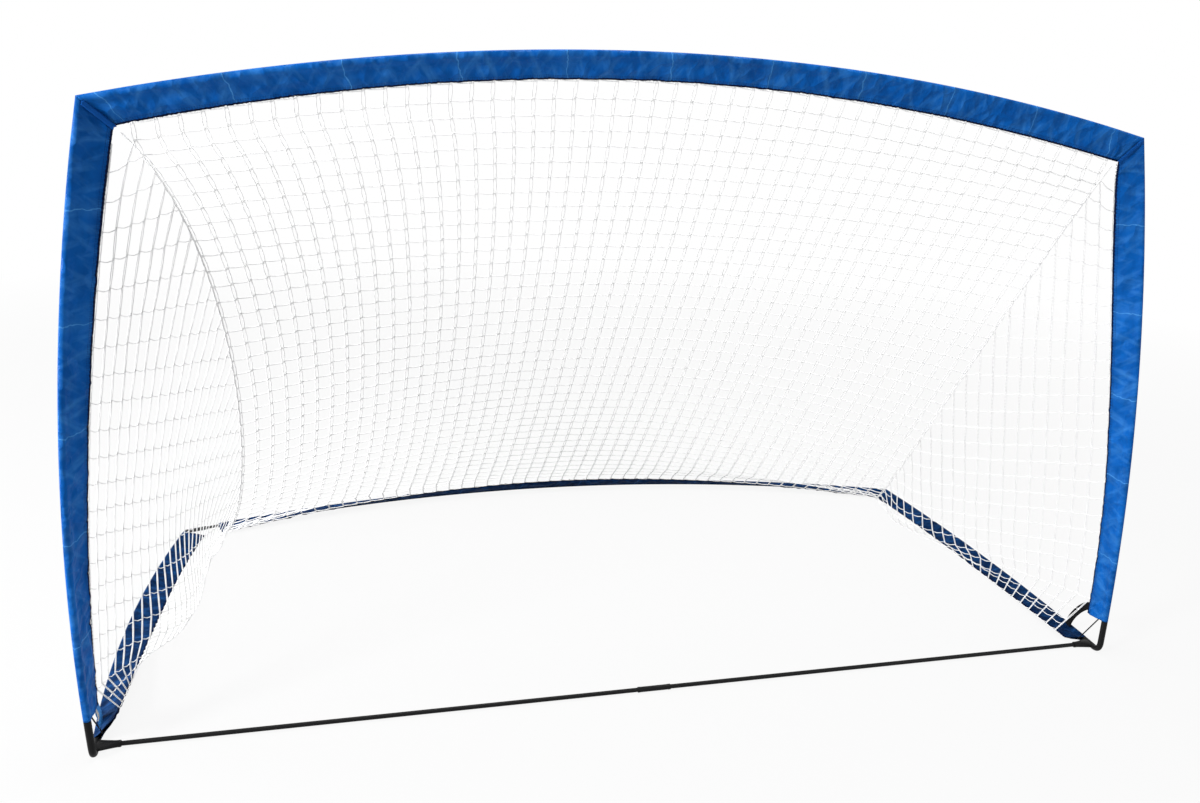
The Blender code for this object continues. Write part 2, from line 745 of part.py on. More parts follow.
def make_nets(rails, materials, parent):
    """The back net, the two side nets, and the cords that seam them together."""
    hem_offset = NET_GAP + STRAND / 2
    lift = STRAND
    apart = SEAM_CORD_R + STRAND / 2 + NET_GAP
    seams = {side: seam_controls(side, rails) for side in SIDES}
    crossbar, rear = rails["crossbar"], rails["rear"]
    top = [crossbar.hem_point(d, hem_offset) for d in net_stations("crossbar", crossbar)]
    foot = [rear.hem_point(d, hem_offset, lift) for d in net_stations("rear", rear)]
    rows = []
    for j in range(NET_ROWS + 1):
        down = j / NET_ROWS
        edges = {}
        for side, sign in SIDES.items():
            middle = curve_point(seams[side], down) - RIGHT * sign
            edges[side] = beside_curve(seams[side], down, middle, apart)
        pull_left = edges["left"] - top[0].lerp(foot[0], down)
        pull_right = edges["right"] - top[-1].lerp(foot[-1], down)
        row = []
        for i in range(NET_COLUMNS + 1):
            across = i / NET_COLUMNS
            point = top[i].lerp(foot[i], down)
            if 0 < j < NET_ROWS:
                point += pull_left * (1 - across) ** EDGE_PULL_POWER
                point += pull_right * across**EDGE_PULL_POWER
                hang = 16 * down * (1 - down) * across * (1 - across)
                point -= (BACK + UP).normalized() * NET_SAG * hang
            row.append(point)
        rows.append(row)
    make_net("back_net", rows, materials["white_twine"], parent)

    for side in SIDES:
        post, ground = rails[side + "_post"], rails[side + "_side"]
        post_line = [post.hem_point(d, hem_offset) for d in net_stations(side + "_post", post)]
        ground_d = net_stations(side + "_side", ground)
        rows = [[ground.hem_point(d, hem_offset, lift) for d in ground_d]]
        for j in range(1, NET_ROWS + 1):
            count = NET_ROWS - j
            start = post_line[j]
            if count == 0:
                rows.append([start])
                continue
            end = beside_curve(seams[side], 1 - j / NET_ROWS, start, apart)
            row = []
            for i in range(count + 1):
                point = start.lerp(end, i / count) + belly(side, i / count, j / NET_ROWS)
                point.z = max(point.z, STRAND)
                row.append(point)
            rows.append(row)
        make_net(f"{side}_side_net", rows, materials["white_twine"], parent)

        points = [curve_point(seams[side], k / NET_ROWS) for k in range(NET_ROWS + 1)]
        rings = []
        for k, point in enumerate(points):
            ahead, behind = points[min(k + 1, NET_ROWS)], points[max(k - 1, 0)]
            tangent = (ahead - behind).normalized()
            rings.append(ring(point, tangent, square_to(RIGHT, tangent), SEAM_CORD_R, 6))
        loft(f"{side}_net_seam_cord", rings, materials["white_twine"], parent)


def add_empty(name, location, parent=None):
    empty = bpy.data.objects.new(name, None)
    bpy.context.scene.collection.objects.link(empty)
    empty.location = location
    empty.parent = parent
    return empty


def main():
    clear_scene()
    materials = make_materials()
    goal = add_empty("goal_frame", (0, 0, 0))
    bar_end = GOAL_WIDTH / 2 - SOCKET_LENGTH
    bar_y = FRONT_Y + BAR_Y
    left_slide = add_empty("left_bar_slide", (MIDDLE_X - bar_end, bar_y, GROUND_Z), goal)
    right_slide = add_empty("right_bar_slide", (MIDDLE_X + bar_end, bar_y, GROUND_Z), goal)
    rails = make_rails()
    sections = {
        "left_post": POST_SECTION_COUNT, "right_post": POST_SECTION_COUNT, "crossbar": CROSSBAR_SECTION_COUNT,
        "left_side": SIDE_SECTION_COUNT, "right_side": SIDE_SECTION_COUNT, "rear": REAR_SECTION_COUNT,
    }
    mark_rails(rails, sections)
    for name, rail in rails.items():
        joints = section_joints(name, rail, sections[name])
        make_pole(name, rail, joints, materials, goal, pole_span(name, rail))
    plastic = materials["black_plastic"]
    make_elbow("left_top_elbow", rails["left_post"], rails["crossbar"], False, True, plastic, goal)
    make_elbow("right_top_elbow", rails["crossbar"], rails["right_post"], False, False, plastic, goal)
    make_elbow("left_rear_elbow", rails["left_side"], rails["rear"], False, True, plastic, goal)
    make_elbow("right_rear_elbow", rails["rear"], rails["right_side"], False, False, plastic, goal)
    make_corner_tubes(rails, materials, goal)
    top_planes = make_sleeves(rails, materials, goal)
    make_bindings(rails, top_planes, materials, goal)
    make_front_bar(rails, materials, goal, left_slide, right_slide)
    make_straps(rails, materials, goal)
    make_elastics(rails, materials, goal)
    make_tab(rails, materials, goal)
    make_nets(rails, materials, goal)


if __name__ == "__main__":
    main()
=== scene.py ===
"""Finishes for the portable soccer goal: cloth sleeves, knotless nets, corner hardware and the studio."""

import math
import random

import bmesh
import bpy
from bpy.props import FloatProperty, FloatVectorProperty, IntProperty, PointerProperty
from mathutils import Matrix, Vector, noise


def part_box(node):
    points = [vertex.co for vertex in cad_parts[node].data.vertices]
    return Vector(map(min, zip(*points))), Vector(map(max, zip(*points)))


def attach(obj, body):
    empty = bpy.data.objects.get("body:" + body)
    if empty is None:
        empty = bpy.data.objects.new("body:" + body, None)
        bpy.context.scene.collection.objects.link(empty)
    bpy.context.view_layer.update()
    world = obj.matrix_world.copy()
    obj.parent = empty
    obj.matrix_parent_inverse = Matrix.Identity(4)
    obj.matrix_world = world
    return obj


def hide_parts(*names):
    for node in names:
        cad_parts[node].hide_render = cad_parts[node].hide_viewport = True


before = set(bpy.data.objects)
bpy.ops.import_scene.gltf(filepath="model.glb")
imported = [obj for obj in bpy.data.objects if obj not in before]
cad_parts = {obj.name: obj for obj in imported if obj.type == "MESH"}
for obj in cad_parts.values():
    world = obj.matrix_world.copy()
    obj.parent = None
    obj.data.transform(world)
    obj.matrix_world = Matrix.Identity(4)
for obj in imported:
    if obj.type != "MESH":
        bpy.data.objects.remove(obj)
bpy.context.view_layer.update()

bl_info = {
    "name": "Portable Soccer Goal",
    "version": (1, 0, 0),
    "blender": (4, 5, 0),
    "location": "3D View > Sidebar > Goal",
    "description": "Builds a pop-up soccer goal of bent poles, cloth sleeves and nets around its frame",
    "category": "Add Mesh",
}

UP = Vector((0, 0, 1))
BACK = Vector((0, 1, 0))
RIGHT = Vector((1, 0, 0))
SIDES = {"left": -1, "right": 1}

# Where each rail's cloth and net begin and end, in metres along the pole
POST_SLEEVE_START = 0.0842
SIDE_SLEEVE_START = 0.0612
REAR_SLEEVE_START = 0.095
SIDE_SLEEVE_BACK_OFF = 0.014
POST_NET_START = 0.120
SIDE_NET_START = 0.100
NET_INSET = 0.022
NET_CORNER_INSET = 0.006
MITRE_GAP = 0.0006

# Degrees that each hem turns from its first direction, at the start, middle and end of its rail
POST_TURNS = {"left": (90.0, 58.0, 27.0), "right": (90.0, 72.0, 2.0)}
CROSSBAR_TURNS = (27.0, 37.0, 2.0)
REAR_MIDDLE_TURN = 37.0
FRONT_LIFTS = {"left": 64.0, "right": 16.0}
LIFT_SHARE = 0.6

# The seams between the back net and the side nets, as pulls on a curve's handles
SEAM_TOP_PULL = {"left": (0.235, 0.012, -0.240), "right": (0.165, 0.012, -0.240)}
SEAM_FOOT_PULL = (0.147, -0.266, 0.070)
EDGE_PULL_POWER = 3.0

# How far the nets' sewn yarns lie beyond a hem's edge, and above the hems on the ground
NET_BEYOND = 0.0018
NET_LIFT = 0.0015

# How far slack pulls each side net inward and down, low above the ground sleeve
SIDE_BELLY = {"left": 0.088, "right": 0.035}
# Heights above the ground of the bunched rows that lie over the ground sleeve
LOW_ROWS = {"left": (), "right": (0.022,)}
BELLY_HEIGHT = 0.09
BELLY_DROP = 0.050

# Starts the noise that moves the nets' crossings a little
NET_SEED = 7

# A wave texture of scale 1 repeats at this distance
WAVE_PERIOD = math.pi / 10
# Steps round a turned piece
ROUND_STEPS = 40


def linear(code):
    """Linear red, green and blue of an sRGB hex colour."""
    parts = [int(code[k:k + 2], 16) / 255 for k in (1, 3, 5)]
    return tuple(c / 12.92 if c <= 0.04045 else ((c + 0.055) / 1.055) ** 2.4 for c in parts)


def length(name, description, default):
    return FloatProperty(name=name, description=description, default=default, min=0.0001, unit="LENGTH")


def cells(name, description, default):
    return IntProperty(name=name, description=description, default=default, min=2)


def colour(name, description, code):
    return FloatVectorProperty(
        name=name, description=description, default=linear(code), subtype="COLOR", min=0, max=1
    )


class GoalSizes(bpy.types.PropertyGroup):
    """Sizes of the poles and of what sits on them."""

    width: length("Width", "Distance between the feet of the posts", 2.400)
    corner_height: length("Corner height", "Height of the top corners", 1.290)
    top_width: length("Top width", "Distance between the top corners", 2.226)
    top_lean: length("Top lean", "How far the top corners lean back", 0.106)
    crossbar_rise: length("Crossbar rise", "Rise of the crossbar at its middle", 0.126)
    post_bow: length("Post bow", "Outward bow of each post", 0.042)
    depth: length("Depth", "Distance from the front corners to the rear corners", 1.100)
    rear_bow: length("Rear bow", "Backward bow of the rear pole", 0.222)
    left_bow: length("Left bow", "Outward bow of the left side pole", 0.041)
    right_bow: length("Right bow", "Outward bow of the right side pole", 0.024)
    tube_radius: length("Corner tube radius", "Radius of the bent steel tubes", 0.0068)
    post_leg: length("Post leg", "Length of a corner tube's leg on the post", 0.083)
    ground_leg: length("Ground leg", "Length of a corner tube's leg on the ground", 0.060)
    tube_bend: length("Tube bend", "Where a corner tube's bend starts", 0.024)
    bar_radius: length("Bar radius", "Radius of the front bar", 0.005)
    bar_setback: length("Bar setback", "Distance of the front bar behind the posts", 0.040)


class SleeveSizes(bpy.types.PropertyGroup):
    """Sizes of the cloth sleeves."""

    width: length("Width", "Width of a sleeve from its pole's edge to its hem", 0.067)
    pocket_radius: length("Pocket radius", "Outer radius of the cloth around the pole", 0.0074)
    hem_thickness: length("Hem thickness", "Thickness of the sewn hem", 0.0025)
    cloth: length("Cloth", "Thickness of one layer of cloth", 0.0005)
    fold_depth: length("Fold depth", "Depth of the loose folds", 0.0028)
    crease_depth: length("Crease depth", "Depth of the creases left by packing", 0.0022)
    crease_spacing: length("Crease spacing", "Mean distance between creases", 0.180)
    fold_spacing: length("Fold spacing", "Distance between the lines where it folds for its bag", 0.213)
    gather_depth: length("Gather depth", "Depth of the wrinkles that rise from the hem", 0.0018)
    gather_spacing: length("Gather spacing", "Mean distance between those wrinkles", 0.048)
    stitch: length("Stitch", "Pitch of the stitches along the hem", 0.0046)
    overlock: length("Overlock", "Pitch of the overlock loops on the hem's edge", 0.0085)


class NetSizes(bpy.types.PropertyGroup):
    """Sizes of the net's cells and yarns."""

    columns: cells("Columns", "Cells across the back net", 50)
    rows: cells("Rows", "Cells down the back net", 41)
    left_columns: cells("Left columns", "Cells along the left net", 38)
    left_rows: cells("Left rows", "Cells up the left net", 21)
    right_columns: cells("Right columns", "Cells along the right net", 23)
    right_rows: cells("Right rows", "Cells up the right net", 25)
    yarn: length("Yarn", "Thickness of the back net's yarn", 0.0026)
    side_yarn: length("Side yarn", "Thickness of the side nets' yarn", 0.0022)
    rib_gap: length("Rib gap", "Distance between the two yarns of an upright rib", 0.0075)
    side_rib_gap: length("Side rib gap", "The same distance in the side nets", 0.0032)
    joint: length("Joint", "Length of the twisted joint at each crossing", 0.0042)
    sag: length("Sag", "How far the back net hangs below a straight line", 0.030)
    seam_cord: length("Seam cord", "Thickness of the cord in each net seam", 0.0034)


class GoalColours(bpy.types.PropertyGroup):
    """Colours of the finishes."""

    royal: colour("Royal blue", "Cloth of the posts and crossbar", "#0C60B6")
    # Deep royal blue: the dark end of the cloth's streaks, partly random tone and partly painted shade, and
    # the binding tape's own colour
    royal_deep: colour("Deep royal blue", "Folds of the posts and crossbar", "#044A96")
    navy: colour("Navy", "Cloth of the ground sleeves", "#0B2D57")
    # Deep navy: the dark end of the ground sleeves' streaks, partly random tone and partly painted shade
    navy_deep: colour("Deep navy", "Folds of the ground sleeves", "#061631")
    edging: colour("Edging", "Overlocked edge of each hem", "#061538")
    stitch: colour("Stitch thread", "Thread of the hem's stitches", "#0A2C66")
    # Painted highlight colour of the royal cloth's fold lines and sheen patches, and the real colour of the
    # cloth's uncoated reverse
    royal_highlight_and_reverse: colour("Worn royal blue", "Fold lines and the reverse of the royal cloth", "#4E97DB")
    # Painted highlight colour of the ground sleeves' fold lines and sheen patches
    navy_highlight: colour("Worn navy", "Fold lines of the ground sleeves", "#2A62A6")
    net_white: colour("Net white", "Yarn of the nets", "#F9F9F9")
    steel_black: colour("Steel black", "Powder coat of the corner tubes", "#0C0C0D")
    pole_black: colour("Pole black", "Fibreglass poles", "#101012")
    webbing_black: colour("Webbing black", "Straps at the front corners", "#0E0E10")
    tape_white: colour("Tape white", "Tape of the tab", "#E9E8E4")
    ferrule: colour("Ferrule", "Drawn aluminium ferrules", "#C9CBCD")
    studio: colour("Studio", "Floor and backdrop as the camera sees them", "#FFFFFF")
    floor: colour("Floor", "Floor under the lamps", "#C4C4C4")


def square_to(direction, tangent):
    """The unit part of a direction that is square to a tangent."""
    return (direction - tangent * direction.dot(tangent)).normalized()


def smooth(value):
    """0 below 0, 1 above 1, and an even slope between them."""
    value = min(max(value, 0.0), 1.0)
    return value * value * (3 - 2 * value)


def swept_turn(first, middle, last):
    """The turn of a hem that passes through three values at the start, middle and end of its rail."""
    def turn(share):
        value = first * (1 - share) * (1 - 2 * share) + middle * 4 * share * (1 - share)
        return value + last * share * (2 * share - 1)
    return turn


def lifted_turn(flat, lift):
    """The turn of a hem that stands up at the front corner and lies flat further back."""
    def turn(share):
        return flat + lift * max(0.0, 1 - share / LIFT_SHARE) ** 1.5
    return turn


class Rail:
    """A bent pole's centre line, and the way its hem points at each distance along it."""

    SAMPLES = 400

    def __init__(self, start, end, bow, hem_axes, turn_at, reach):
        self.start = start
        self.end = end
        self.bow = bow
        self.hem_axes = hem_axes
        self.turn_at = turn_at
        self.reach = reach
        points = [self.point(k / self.SAMPLES) for k in range(self.SAMPLES + 1)]
        self.reached = [0.0]
        for a, b in zip(points, points[1:]):
            self.reached.append(self.reached[-1] + (b - a).length)
        self.length = self.reached[-1]

    def point(self, share):
        return self.start.lerp(self.end, share) + self.bow * (4 * share * (1 - share))

    def share(self, distance):
        """The share of the curve's parameter that lies at a distance from its start."""
        low, high = 0, self.SAMPLES
        while high - low > 1:
            middle = (low + high) // 2
            if self.reached[middle] <= distance:
                low = middle
            else:
                high = middle
        step = self.reached[high] - self.reached[low]
        return (low + (distance - self.reached[low]) / step) / self.SAMPLES

    def centre(self, distance):
        return self.point(self.share(distance))

    def tangent(self, distance):
        share = self.share(distance)
        return (self.end - self.start + self.bow * (4 - 8 * share)).normalized()

    def hem(self, distance):
        """The unit direction from the pole to its hem."""
        turn = math.radians(self.turn_at(self.share(distance)))
        tangent = self.tangent(distance)
        a, b = (square_to(axis, tangent) for axis in self.hem_axes)
        return a * math.cos(turn) + b * math.sin(turn)

    def hem_point(self, distance, beyond=0.0, lift=0.0):
        """A point level with the hem's edge, or beyond it."""
        out = self.hem(distance) * (self.reach + beyond)
        return self.centre(distance) + out + UP * lift


class Goal:
    """The rails of the whole goal, and what follows from them."""

    def __init__(self, scene):
        sizes, sleeve, self.net = scene.goal_sizes, scene.goal_sleeves, scene.goal_nets
        self.sizes, self.sleeve = sizes, sleeve
        self.side_cells = {
            "left": (self.net.left_columns, self.net.left_rows),
            "right": (self.net.right_columns, self.net.right_rows),
        }
        self.radius = sleeve.pocket_radius
        self.reach = sleeve.width - sleeve.pocket_radius
        self.hem_half = sleeve.hem_thickness / 2
        self.taper = math.asin((self.radius - self.hem_half) / self.reach)
        self.ground = self.radius
        self.front = -(sizes.depth + sizes.rear_bow + self.radius - sizes.tube_radius) / 2
        self.middle = (sizes.left_bow - sizes.right_bow) / 2
        self.rails = self.make_rails()
        crossbar = self.rails["crossbar"]
        self.mitres = {
            "left": self.mitre(self.rails["left_post"], crossbar, True),
            "right": self.mitre(crossbar, self.rails["right_post"], False),
            "rear": self.mitre(self.rails["rear"], self.rails["right_side"], False),
        }

    def make_rails(self):
        sizes, rails = self.sizes, {}
        flat = -math.degrees(self.taper)
        tops, backs = {}, {}
        bows = {"left": sizes.left_bow, "right": sizes.right_bow}
        for side, sign in SIDES.items():
            foot = Vector((self.middle + sign * sizes.width / 2, self.front, self.ground))
            across = self.middle + sign * sizes.top_width / 2
            tops[side] = Vector((across, self.front + sizes.top_lean, sizes.corner_height))
            backs[side] = foot + BACK * sizes.depth
            inward, outward = RIGHT * -sign, RIGHT * sign
            rails[side + "_post"] = Rail(
                foot, tops[side], outward * sizes.post_bow, (inward, BACK),
                swept_turn(*POST_TURNS[side]), self.reach,
            )
            rails[side + "_side"] = Rail(
                foot, backs[side], outward * bows[side], (inward, UP),
                lifted_turn(flat, FRONT_LIFTS[side]), self.reach,
            )
        rails["crossbar"] = Rail(
            tops["left"], tops["right"], UP * sizes.crossbar_rise, (-UP, BACK),
            swept_turn(*CROSSBAR_TURNS), self.reach,
        )
        rails["rear"] = Rail(
            backs["left"], backs["right"], BACK * sizes.rear_bow, (-BACK, UP),
            swept_turn(flat, REAR_MIDDLE_TURN, flat), self.reach,
        )
        return rails

    def mitre(self, first, second, second_at_start):
        """The plane on which one sleeve's end meets the next: a point and the normal along the travel."""
        before = first.tangent(first.length)
        after = second.tangent(0.0) if second_at_start else -second.tangent(second.length)
        return first.centre(first.length), (before + after).normalized()

    def net_span(self, name):
        """The stretch of a rail's hem that its net is sewn to."""
        rail = self.rails[name]
        inset = self.reach + NET_INSET
        corner = self.reach + NET_CORNER_INSET
        return {
            "left_post": (POST_NET_START, rail.length - corner),
            "right_post": (POST_NET_START, rail.length - corner),
            "left_side": (SIDE_NET_START, rail.length - SIDE_SLEEVE_BACK_OFF - NET_INSET),
            "right_side": (SIDE_NET_START, rail.length - inset),
            "crossbar": (corner, rail.length - corner),
            "rear": (REAR_SLEEVE_START + NET_INSET, rail.length - inset),
        }[name]

    def hem_at(self, name, share, beyond=0.0, lift=0.0):
        """A point of a rail's hem at a share of the stretch that its net is sewn to."""
        low, high = self.net_span(name)
        return self.rails[name].hem_point(low + (high - low) * share, beyond, lift)

    def seam(self, side):
        """Control points of the seam where the back net meets a side net."""
        sign = SIDES[side]
        post, crossbar = self.rails[side + "_post"], self.rails["crossbar"]
        corner = self.reach if side == "left" else crossbar.length - self.reach
        inner = (post.hem_point(post.length - self.reach) + crossbar.hem_point(corner)) / 2
        top = inner + (RIGHT * -sign - UP).normalized() * self.net.seam_cord * 0.85
        side_foot = self.hem_at(side + "_side", 1.0)
        rear_foot = self.hem_at("rear", 0.0 if side == "left" else 1.0)
        foot = (side_foot + rear_foot) / 2
        foot.z = self.ground + self.net.seam_cord / 2
        pulls = []
        for inward, back, up in (SEAM_TOP_PULL[side], SEAM_FOOT_PULL):
            pulls.append(RIGHT * -sign * inward + BACK * back + UP * up)
        return top, top + pulls[0], foot + pulls[1], foot


def curve_point(controls, share):
    """A point of a cubic Bezier curve."""
    a, b, c, d = controls
    rest = 1 - share
    return a * rest**3 + b * 3 * share * rest**2 + c * 3 * share**2 * rest + d * share**3


def spread(low, high, step):
    """Evenly spaced values from low to high, about a step apart."""
    count = max(1, round(abs(high - low) / step))
    return [low + (high - low) * k / count for k in range(count + 1)]


def link(name, data):
    piece = bpy.data.objects.new(name, data)
    bpy.context.scene.collection.objects.link(piece)
    return piece


def settle(piece, body, material, slot, *nodes):
    """Gives a piece its finish and its body, and hides the nodes that it stands for."""
    piece.data.materials.clear()
    piece.data.materials.append(material)
    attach(piece, body)
    if nodes:
        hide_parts(*nodes)


def mesh_of(bm, name):
    mesh = bpy.data.meshes.new(name)
    bm.to_mesh(mesh)
    bm.free()
    return mesh


def cloth_grid(name, sections, stations, offsets, thickness):
    """A strip of cloth: a row of points for each station, and a map in metres along and across."""
    across, along = len(sections[0]), len(sections)
    bm = bmesh.new()
    bmesh.ops.create_grid(bm, x_segments=across - 1, y_segments=along - 1, size=1)
    bm.verts.index_update()
    layer = bm.loops.layers.uv.new("cloth")
    for face in bm.faces:
        for loop in face.loops:
            row, column = divmod(loop.vert.index, across)
            loop[layer].uv = (stations[row], offsets[column])
        face.smooth = True
    for vert in bm.verts:
        row, column = divmod(vert.index, across)
        vert.co = sections[row][column]
    bmesh.ops.recalc_face_normals(bm, faces=bm.faces)
    piece = link(name, mesh_of(bm, name))
    wall = piece.modifiers.new("cloth", "SOLIDIFY")
    wall.thickness = thickness
    wall.offset = -1.0
    return piece


def yarn(name, lines, radius, sides=1):
    """Round yarns or tubes as one curve. A line's points may each carry a share of the radius."""
    curve = bpy.data.curves.new(name, "CURVE")
    curve.dimensions = "3D"
    curve.bevel_depth = radius
    curve.bevel_resolution = sides
    curve.use_fill_caps = True
    for line in lines:
        spline = curve.splines.new("POLY")
        spline.points.add(len(line) - 1)
        for point, place in zip(spline.points, line):
            where, share = place if isinstance(place, tuple) else (place, 1.0)
            point.co = (*where, 1.0)
            point.radius = share
        spline.use_smooth = True
    return link(name, curve)


def turned(name, profile, centre, axis):
    """A round piece spun from a profile of distances along the axis and radii."""
    bm = bmesh.new()
    bmesh.ops.create_grid(bm, x_segments=len(profile) - 1, y_segments=ROUND_STEPS, size=1)
    bm.verts.index_update()
    side = square_to(UP if abs(axis.z) < 0.9 else RIGHT, axis)
    for vert in bm.verts:
        step, k = divmod(vert.index, len(profile))
        along, radius = profile[k]
        turn = 2 * math.pi * step / ROUND_STEPS
        out = side * math.cos(turn) + axis.cross(side) * math.sin(turn)
        vert.co = centre + axis * along + out * radius
    bmesh.ops.remove_doubles(bm, verts=bm.verts, dist=0.00001)
    bmesh.ops.recalc_face_normals(bm, faces=bm.faces)
    mesh = mesh_of(bm, name)
    mesh.shade_smooth()
    mesh.set_sharp_from_angle(angle=math.radians(40))
    return link(name, mesh)


def carried(points):
    """Each point of a line with its tangent and a side direction that turns no more than the line does."""
    frames, side = [], None
    for k, point in enumerate(points):
        ahead, behind = points[min(k + 1, len(points) - 1)], points[max(k - 1, 0)]
        tangent = (ahead - behind).normalized()
        if side is None:
            side = square_to(UP if abs(tangent.z) < 0.9 else RIGHT, tangent)
        side = square_to(side, tangent)
        frames.append((point, tangent, side))
    return frames


def wound(points, radius, pitch, step, start=0.0):
    """A helix round a line of points a step apart."""
    line = []
    for k, (point, tangent, side) in enumerate(carried(points)):
        turn = start + 2 * math.pi * k * step / pitch
        line.append(point + (side * math.cos(turn) + tangent.cross(side) * math.sin(turn)) * radius)
    return line


def add_node(tree, kind, inputs=None, **settings):
    """Adds a shader node with its settings, and sets each input or links it from a socket."""
    made = tree.nodes.new(kind)
    for name, value in settings.items():
        setattr(made, name, value)
    for name, value in (inputs or {}).items():
        if isinstance(value, bpy.types.NodeSocket):
            tree.links.new(value, made.inputs[name])
        else:
            made.inputs[name].default_value = value
    return made


def new_material(name):
    material = bpy.data.materials.new(name)
    material.use_nodes = True
    tree = material.node_tree
    return material, tree, tree.nodes["Principled BSDF"]


def rgba(value):
    return (*value, 1.0)


def shaded(value, share):
    """A colour made darker or paler by a share."""
    return tuple(c * share for c in value)


def woven_polyester(name, colour, deep, painted_highlight, edging, thread_colour, sleeve, roughness, gleam):
    """Plain-woven polyester, calendered on the face: a smooth, slightly glossy cloth with soft streaks, and
    painted highlights and painted shade in its colour.
    """
    material, tree, shader = new_material(name)
    uv = add_node(tree, "ShaderNodeUVMap", uv_map="cloth").outputs["UV"]
    parts = add_node(tree, "ShaderNodeSeparateXYZ", {0: uv})
    along, across = parts.outputs["X"], parts.outputs["Y"]

    # Threads lie 0.35 mm apart. They are drawn 1.1 mm apart, so that the weave shows
    thread = 0.0011
    warp = add_node(
        tree, "ShaderNodeTexWave", {"Vector": uv, "Scale": WAVE_PERIOD / thread}, bands_direction="X"
    )
    weft = add_node(
        tree, "ShaderNodeTexWave", {"Vector": uv, "Scale": WAVE_PERIOD / thread}, bands_direction="Y"
    )
    weave = add_node(
        tree, "ShaderNodeMath", {0: warp.outputs["Fac"], 1: weft.outputs["Fac"]}, operation="MAXIMUM"
    )

    # Streaks about 40 mm across and four times as long: random tone of the dye, with painted light and shade
    # towards the deep colour
    stretched = add_node(tree, "ShaderNodeMapping", {"Vector": uv, "Scale": (6.0, 24.0, 1.0)})
    streaks = add_node(
        tree, "ShaderNodeTexNoise", {"Vector": stretched.outputs["Vector"], "Scale": 1.0, "Detail": 4.0}
    )

    # Soft dents, about 18 mm across
    crumple = add_node(
        tree, "ShaderNodeTexNoise", {"Vector": uv, "Scale": 55.0, "Detail": 5.0, "Roughness": 0.6}
    )

    # Crumpled facets of 35 mm and 13 mm, on bent axes
    bend = add_node(tree, "ShaderNodeTexNoise", {"Vector": uv, "Scale": 12.0, "Detail": 2.0})
    bent_uv = add_node(
        tree, "ShaderNodeMix", {0: 0.045, 4: uv, 5: bend.outputs["Color"]}, data_type="VECTOR"
    )
    facets = add_node(tree, "ShaderNodeTexVoronoi", {"Vector": bent_uv.outputs[1], "Scale": 28.0})
    small_facets = add_node(tree, "ShaderNodeTexVoronoi", {"Vector": bent_uv.outputs[1], "Scale": 75.0})

    # Painted highlights: a pale line where the goal folds for its bag, with a soft painted sheen beside it
    bends = add_node(tree, "ShaderNodeTexNoise", {"Vector": uv, "Scale": 30.0, "Detail": 3.0})
    lean = add_node(
        tree, "ShaderNodeMath", {0: bends.outputs["Fac"], 1: 0.022, 2: along}, operation="MULTIPLY_ADD"
    )
    lean = add_node(
        tree, "ShaderNodeMath", {0: across, 1: 0.16, 2: lean.outputs[0]}, operation="MULTIPLY_ADD"
    )
    fold = add_node(
        tree, "ShaderNodeMath", {0: lean.outputs[0], 1: 1 / sleeve.fold_spacing, 2: 0.25},
        operation="MULTIPLY_ADD",
    )
    fold = add_node(tree, "ShaderNodeMath", {0: fold.outputs[0]}, operation="FRACT")
    fold = add_node(tree, "ShaderNodeMath", {0: fold.outputs[0], 1: 0.5}, operation="SUBTRACT")
    fold = add_node(tree, "ShaderNodeMath", {0: fold.outputs[0]}, operation="ABSOLUTE")
    fold = add_node(
        tree, "ShaderNodeMath", {0: fold.outputs[0], 1: sleeve.fold_spacing}, operation="MULTIPLY"
    )
    line = add_node(
        tree, "ShaderNodeMapRange",
        {"Value": fold.outputs[0], "From Min": 0.0004, "From Max": 0.0017, "To Min": 0.75, "To Max": 0.0},
    )
    painted_fold_sheen = add_node(
        tree, "ShaderNodeMapRange",
        {"Value": fold.outputs[0], "From Min": 0.0010, "From Max": 0.0200, "To Min": 0.34, "To Max": 0.0},
    )
    painted_fold_sheen = add_node(
        tree, "ShaderNodeMath", {0: painted_fold_sheen.outputs["Result"], 1: crumple.outputs["Fac"]}, operation="MULTIPLY"
    )
    fold_highlight = add_node(
        tree, "ShaderNodeMath", {0: line.outputs["Result"], 1: painted_fold_sheen.outputs[0]}, operation="MAXIMUM"
    )

    # Slanting patches of painted sheen, about 20 mm wide, that lean both ways
    patches = []
    for slant in (1.05, -1.2):
        slanted = add_node(
            tree, "ShaderNodeMapping",
            {"Vector": uv, "Rotation": (0.0, 0.0, slant), "Scale": (0.090, 0.022, 1.0)},
            vector_type="TEXTURE",
        )
        patch = add_node(
            tree, "ShaderNodeTexNoise", {"Vector": slanted.outputs["Vector"], "Scale": 1.0, "Detail": 3.0}
        )
        patch = add_node(
            tree, "ShaderNodeMapRange",
            {"Value": patch.outputs["Fac"], "From Min": 0.50, "From Max": 0.76, "To Max": 0.36},
        )
        patches.append(patch.outputs["Result"])
    sheen = add_node(tree, "ShaderNodeMath", {0: patches[0], 1: patches[1]}, operation="MAXIMUM")
    highlight_mask = add_node(tree, "ShaderNodeMath", {0: fold_highlight.outputs[0], 1: sheen.outputs[0]}, operation="MAXIMUM")
    tone = add_node(
        tree, "ShaderNodeMapRange",
        {"Value": streaks.outputs["Fac"], "From Min": 0.26, "From Max": 0.74},
    )
    # Partly painted light and shade: the streaks move the colour between the deep blue and the plain blue
    cloth = add_node(
        tree, "ShaderNodeMix",
        {0: tone.outputs["Result"], "A": rgba(deep), "B": rgba(colour)}, data_type="RGBA",
    )
    # Painted highlights: the fold lines and sheen patches pale the cloth's colour towards the highlight
    # colour
    highlighted = add_node(
        tree, "ShaderNodeMix", {0: highlight_mask.outputs[0], "A": cloth.outputs[2], "B": rgba(painted_highlight)}, data_type="RGBA"
    )
    cloth_colour = highlighted.outputs[2]

